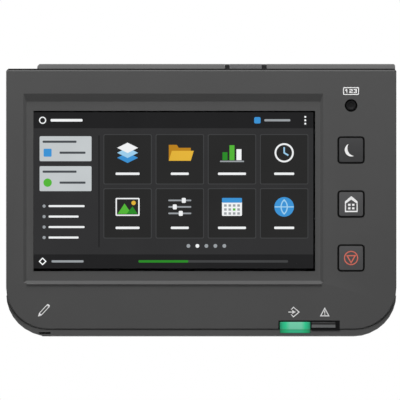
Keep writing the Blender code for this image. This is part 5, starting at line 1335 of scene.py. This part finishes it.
@dataclass
class Screw:
    """Machine screw with a domed head, a cross recess and a cut thread. It stands for a CAD screw.

    The shares are those of its head's height or radius.
    """

    node: str
    body: str
    head_mm: float
    shank_radius_mm: float
    head_in_front: bool
    pitch_mm: float = 0.7
    thread_mm: float = 0.3
    tip_mm: float = 0.5
    crown_share: float = 0.6
    side_share: float = 0.93
    foot_share: float = 0.95
    recess_share: tuple[float, float] = (0.56, 0.13)
    recess_depth_mm: float = 1.3
    steps: int = 32
    sharp: float = 35.0

    def build(self) -> None:
        """Turns the screw, sinks its recess and lays it where the CAD screw is."""
        low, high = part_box(self.node)
        middle = (low + high) / 2
        radius = (high.x - low.x) / 2 / MM
        screw = self.turn(self.profile(radius, (high.y - low.y) / MM))
        self.sink_recess(screw, radius)
        start, way = (low.y, 1.0) if self.head_in_front else (high.y, -1.0)
        scale = Matrix.Diagonal((MM, way * MM, MM, 1.0))
        screw.data.transform(Matrix.Translation((middle.x, start, middle.z)) @ scale)
        if way < 0:
            screw.data.flip_normals()
        screw.modifiers.new("shading", "NODES").node_group = smooth_skin(self.sharp)
        add_piece(screw, BLACK_STEEL, self.body)
        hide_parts(self.node)

    def profile(self, radius: float, length: float) -> Outline:
        """Half section of the screw.

        Args:
            radius: of the head in millimetres.
            length: of the whole screw in millimetres.

        Returns:
            Radius and distance from the head's top, from the top to the tip.
        """
        angles = [math.radians(angle) for angle in range(0, 91, 15)]
        crown = self.crown_share * self.head_mm
        points = [(radius * math.sin(angle), crown * (1 - math.cos(angle))) for angle in angles]
        points += [(radius, self.side_share * self.head_mm), (self.foot_share * radius, self.head_mm)]
        place, root = self.head_mm, self.shank_radius_mm - self.thread_mm
        while place + self.pitch_mm < length - self.tip_mm:
            points += [(root, place), (self.shank_radius_mm, place + self.pitch_mm / 2)]
            place += self.pitch_mm
        return points + [(root, place), (self.shank_radius_mm - 2 * self.thread_mm, length), (0.0, length)]

    def turn(self, profile: Outline) -> Object:
        """Turns a half section round the Y axis.

        Args:
            profile: radius and place along Y.

        Returns:
            The closed solid, in millimetres.
        """
        shape = bmesh.new()
        rings = []
        for radius, along in profile:
            count = self.steps if radius else 1
            angles = [2 * math.pi * step / count for step in range(count)]
            places = [(radius * math.cos(angle), along, radius * math.sin(angle)) for angle in angles]
            rings.append([shape.verts.new(place) for place in places])
        for near, far in zip(rings, rings[1:]):
            for step in range(self.steps):
                after = (step + 1) % self.steps
                face = [near[step % len(near)], near[after % len(near)]]
                face += [far[after % len(far)], far[step % len(far)]]
                shape.faces.new(list(dict.fromkeys(face)))
        bmesh.ops.recalc_face_normals(shape, faces=shape.faces)
        mesh = bpy.data.meshes.new(self.node + "_threaded")
        shape.to_mesh(mesh)
        shape.free()
        return add_object(self.node + "_threaded", mesh)

    def sink_recess(self, screw: Object, radius: float) -> None:
        """Cuts a cross into the head.

        Args:
            screw: the turned screw, in millimetres.
            radius: of its head.
        """
        long, short = (share * radius for share in self.recess_share)
        cross, arm = [], [(long, short), (short, short), (short, long)]
        for _ in range(4):
            cross += arm
            arm = [(-v, u) for u, v in arm]
        cutter = flat_mesh(self.node + "_recess", [cross], -1.0, self.recess_depth_mm)
        cut = screw.modifiers.new("recess", "BOOLEAN")
        cut.object = cutter
        cut.solver = "EXACT"
        result = mesh_of(screw)
        screw.modifiers.remove(cut)
        screw.data = result
        bpy.data.objects.remove(cutter)


@dataclass
class HingeAndMount:
    """Arm, bracket, hinge pieces and screws."""

    arm_edge_mm: float = 0.4
    bracket_edge_mm: float = 0.3
    arm_screw_head_mm: float = 3.0
    arm_screw_radius_mm: float = 2.5
    rear_screw_head_mm: float = 2.4
    rear_screw_radius_mm: float = 1.5
    rear_screw_pitch_mm: float = 0.9
    screws: int = 4

    def build(self, nodes: Nodes) -> None:
        """Dresses the pieces and turns the screws.

        Args:
            nodes: the CAD nodes.
        """
        nodes.dress(CAST_PAINT, "hinge_arm", edge_mm=self.arm_edge_mm)
        nodes.dress(ZINC, "mount_bracket", edge_mm=self.bracket_edge_mm)
        nodes.dress(ZINC, "tilt_shaft", "lock_nut_left", "lock_nut_right")
        # The thrust bushes are black so that the slots beside the knuckle read dark: their black stands in
        # for the shade in those slots, as painted shade.
        nodes.dress(BLACK_TRIM, "thrust_bush_left", "thrust_bush_right")
        nodes.dress(BLACK_STEEL, "shaft_pin", "friction_washer_left", "friction_washer_right")
        for number in range(1, self.screws + 1):
            arm, rear = f"arm_screw_{number}", f"rear_screw_{number}"
            nodes.dress(BLACK_STEEL, arm, rear)
            Screw(arm, "mount", self.arm_screw_head_mm, self.arm_screw_radius_mm, True).build()
            sizes = (self.rear_screw_head_mm, self.rear_screw_radius_mm)
            Screw(rear, "panel", *sizes, False, pitch_mm=self.rear_screw_pitch_mm).build()


@dataclass
class Studio:
    """Pale floor, soft light from above and the camera of the photograph's view."""

    place: PanelPlace
    frame_mm: float = 317.2
    middle_mm: tuple[float, float] = (153.8, 104.1)
    distance: float = 4.0
    far: float = 50.0
    sensor_mm: float = 36.0
    floor_drop: float = 0.9
    floor_back: float = 0.1
    floor_size: float = 2.0
    floor_thick: float = 0.002
    lamp_distance: float = 1.3
    lamp_elevation: float = 63.0
    lamp_turn: float = 6.0
    lamp_size: tuple[float, float] = (1.2, 0.7)
    lamp_power: float = 29.0
    back_elevation: float = 10.0
    back_turn: float = 125.0
    back_power: float = 11.0
    room_level: float = 0.1

    def middle(self) -> Vector:
        """The place on the front face at the picture's middle."""
        u, v = self.middle_mm
        return Vector((self.place.left + u * MM, self.place.front, self.place.top - v * MM))

    def build(self) -> None:
        """Sets up the room, the floor, the lamps and the camera."""
        bpy.context.scene.view_settings.view_transform = "Standard"
        self.add_room()
        self.add_floor()
        self.add_lamp("soft_box", self.lamp_elevation, self.lamp_turn, self.lamp_power)
        self.add_lamp("left_box", self.back_elevation, self.back_turn, self.back_power)
        self.add_lamp("right_box", self.back_elevation, -self.back_turn, self.back_power)
        self.add_camera()

    def add_room(self) -> None:
        """Adds a room that looks white, also in gloss and through glass, and gives a dim, even light."""
        world = bpy.data.worlds.new("white room")
        bpy.context.scene.world = world
        world.use_nodes = True
        tree = world.node_tree
        share = {"To Min": self.room_level, "To Max": 1.0, "Value": seen_by_eye(tree)}
        level = add_node(tree, "ShaderNodeMapRange", share).outputs["Result"]
        set_node(tree.nodes["Background"], {"Color": linear("ffffff"), "Strength": level})

    def add_floor(self) -> None:
        """Adds a plain pale sheet under the panel."""
        sheet = box_outline((0.0, 0.0), self.floor_size, self.floor_size)
        floor = flat_mesh("studio_floor", [sheet], -self.floor_thick, 0.0)
        floor.rotation_euler = (math.radians(-90), 0.0, 0.0)
        floor.location = self.middle() + Vector((0.0, self.floor_back, -self.floor_drop))
        floor.data.materials.append(PAPER.material())

    def add_lamp(self, name: str, elevation: float, turn: float, power: float) -> None:
        """Adds a large soft lamp that looks at the panel.

        Args:
            name: of the lamp.
            elevation: over the panel's middle, in degrees.
            turn: from straight in front towards the left, in degrees.
            power: in watts.
        """
        lamp = bpy.data.lights.new(name, "AREA")
        lamp.shape = "RECTANGLE"
        lamp.size, lamp.size_y = self.lamp_size
        lamp.energy = power
        holder = add_object(name, lamp)
        lift, aside = math.radians(elevation), math.radians(turn)
        level = math.cos(lift)
        ray = Vector((-level * math.sin(aside), -level * math.cos(aside), math.sin(lift)))
        holder.location = self.middle() + self.lamp_distance * ray
        holder.rotation_euler = (self.middle() - holder.location).to_track_quat("-Z", "Y").to_euler()

    def add_camera(self) -> None:
        """Adds a long lens straight at the panel."""
        lens = bpy.data.cameras.new("camera")
        lens.sensor_width = self.sensor_mm
        lens.lens = self.sensor_mm * self.distance / (self.frame_mm * MM)
        lens.clip_end = self.far
        camera = add_object("camera", lens)
        camera.location = self.middle() - Vector((0.0, self.distance, 0.0))
        camera.rotation_euler = (math.radians(90), 0.0, 0.0)
        bpy.context.scene.camera = camera


def main() -> None:
    """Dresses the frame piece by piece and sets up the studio."""
    logging.basicConfig(level=logging.INFO, format="%(message)s")
    for leftover in list(bpy.data.objects):
        bpy.data.objects.remove(leftover)
    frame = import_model()
    nodes = Nodes(frame["nodes"])
    place = PanelPlace.of_frame()
    Covers(place).build(nodes)
    ScreenImage(place).build(nodes)
    Keys(place).build(nodes)
    IndicatorBar(place).build(nodes)
    Inside().build(nodes)
    Pen().build(nodes)
    HingeAndMount().build(nodes)
    Studio(place).build()


if __name__ == "__main__":
    main()
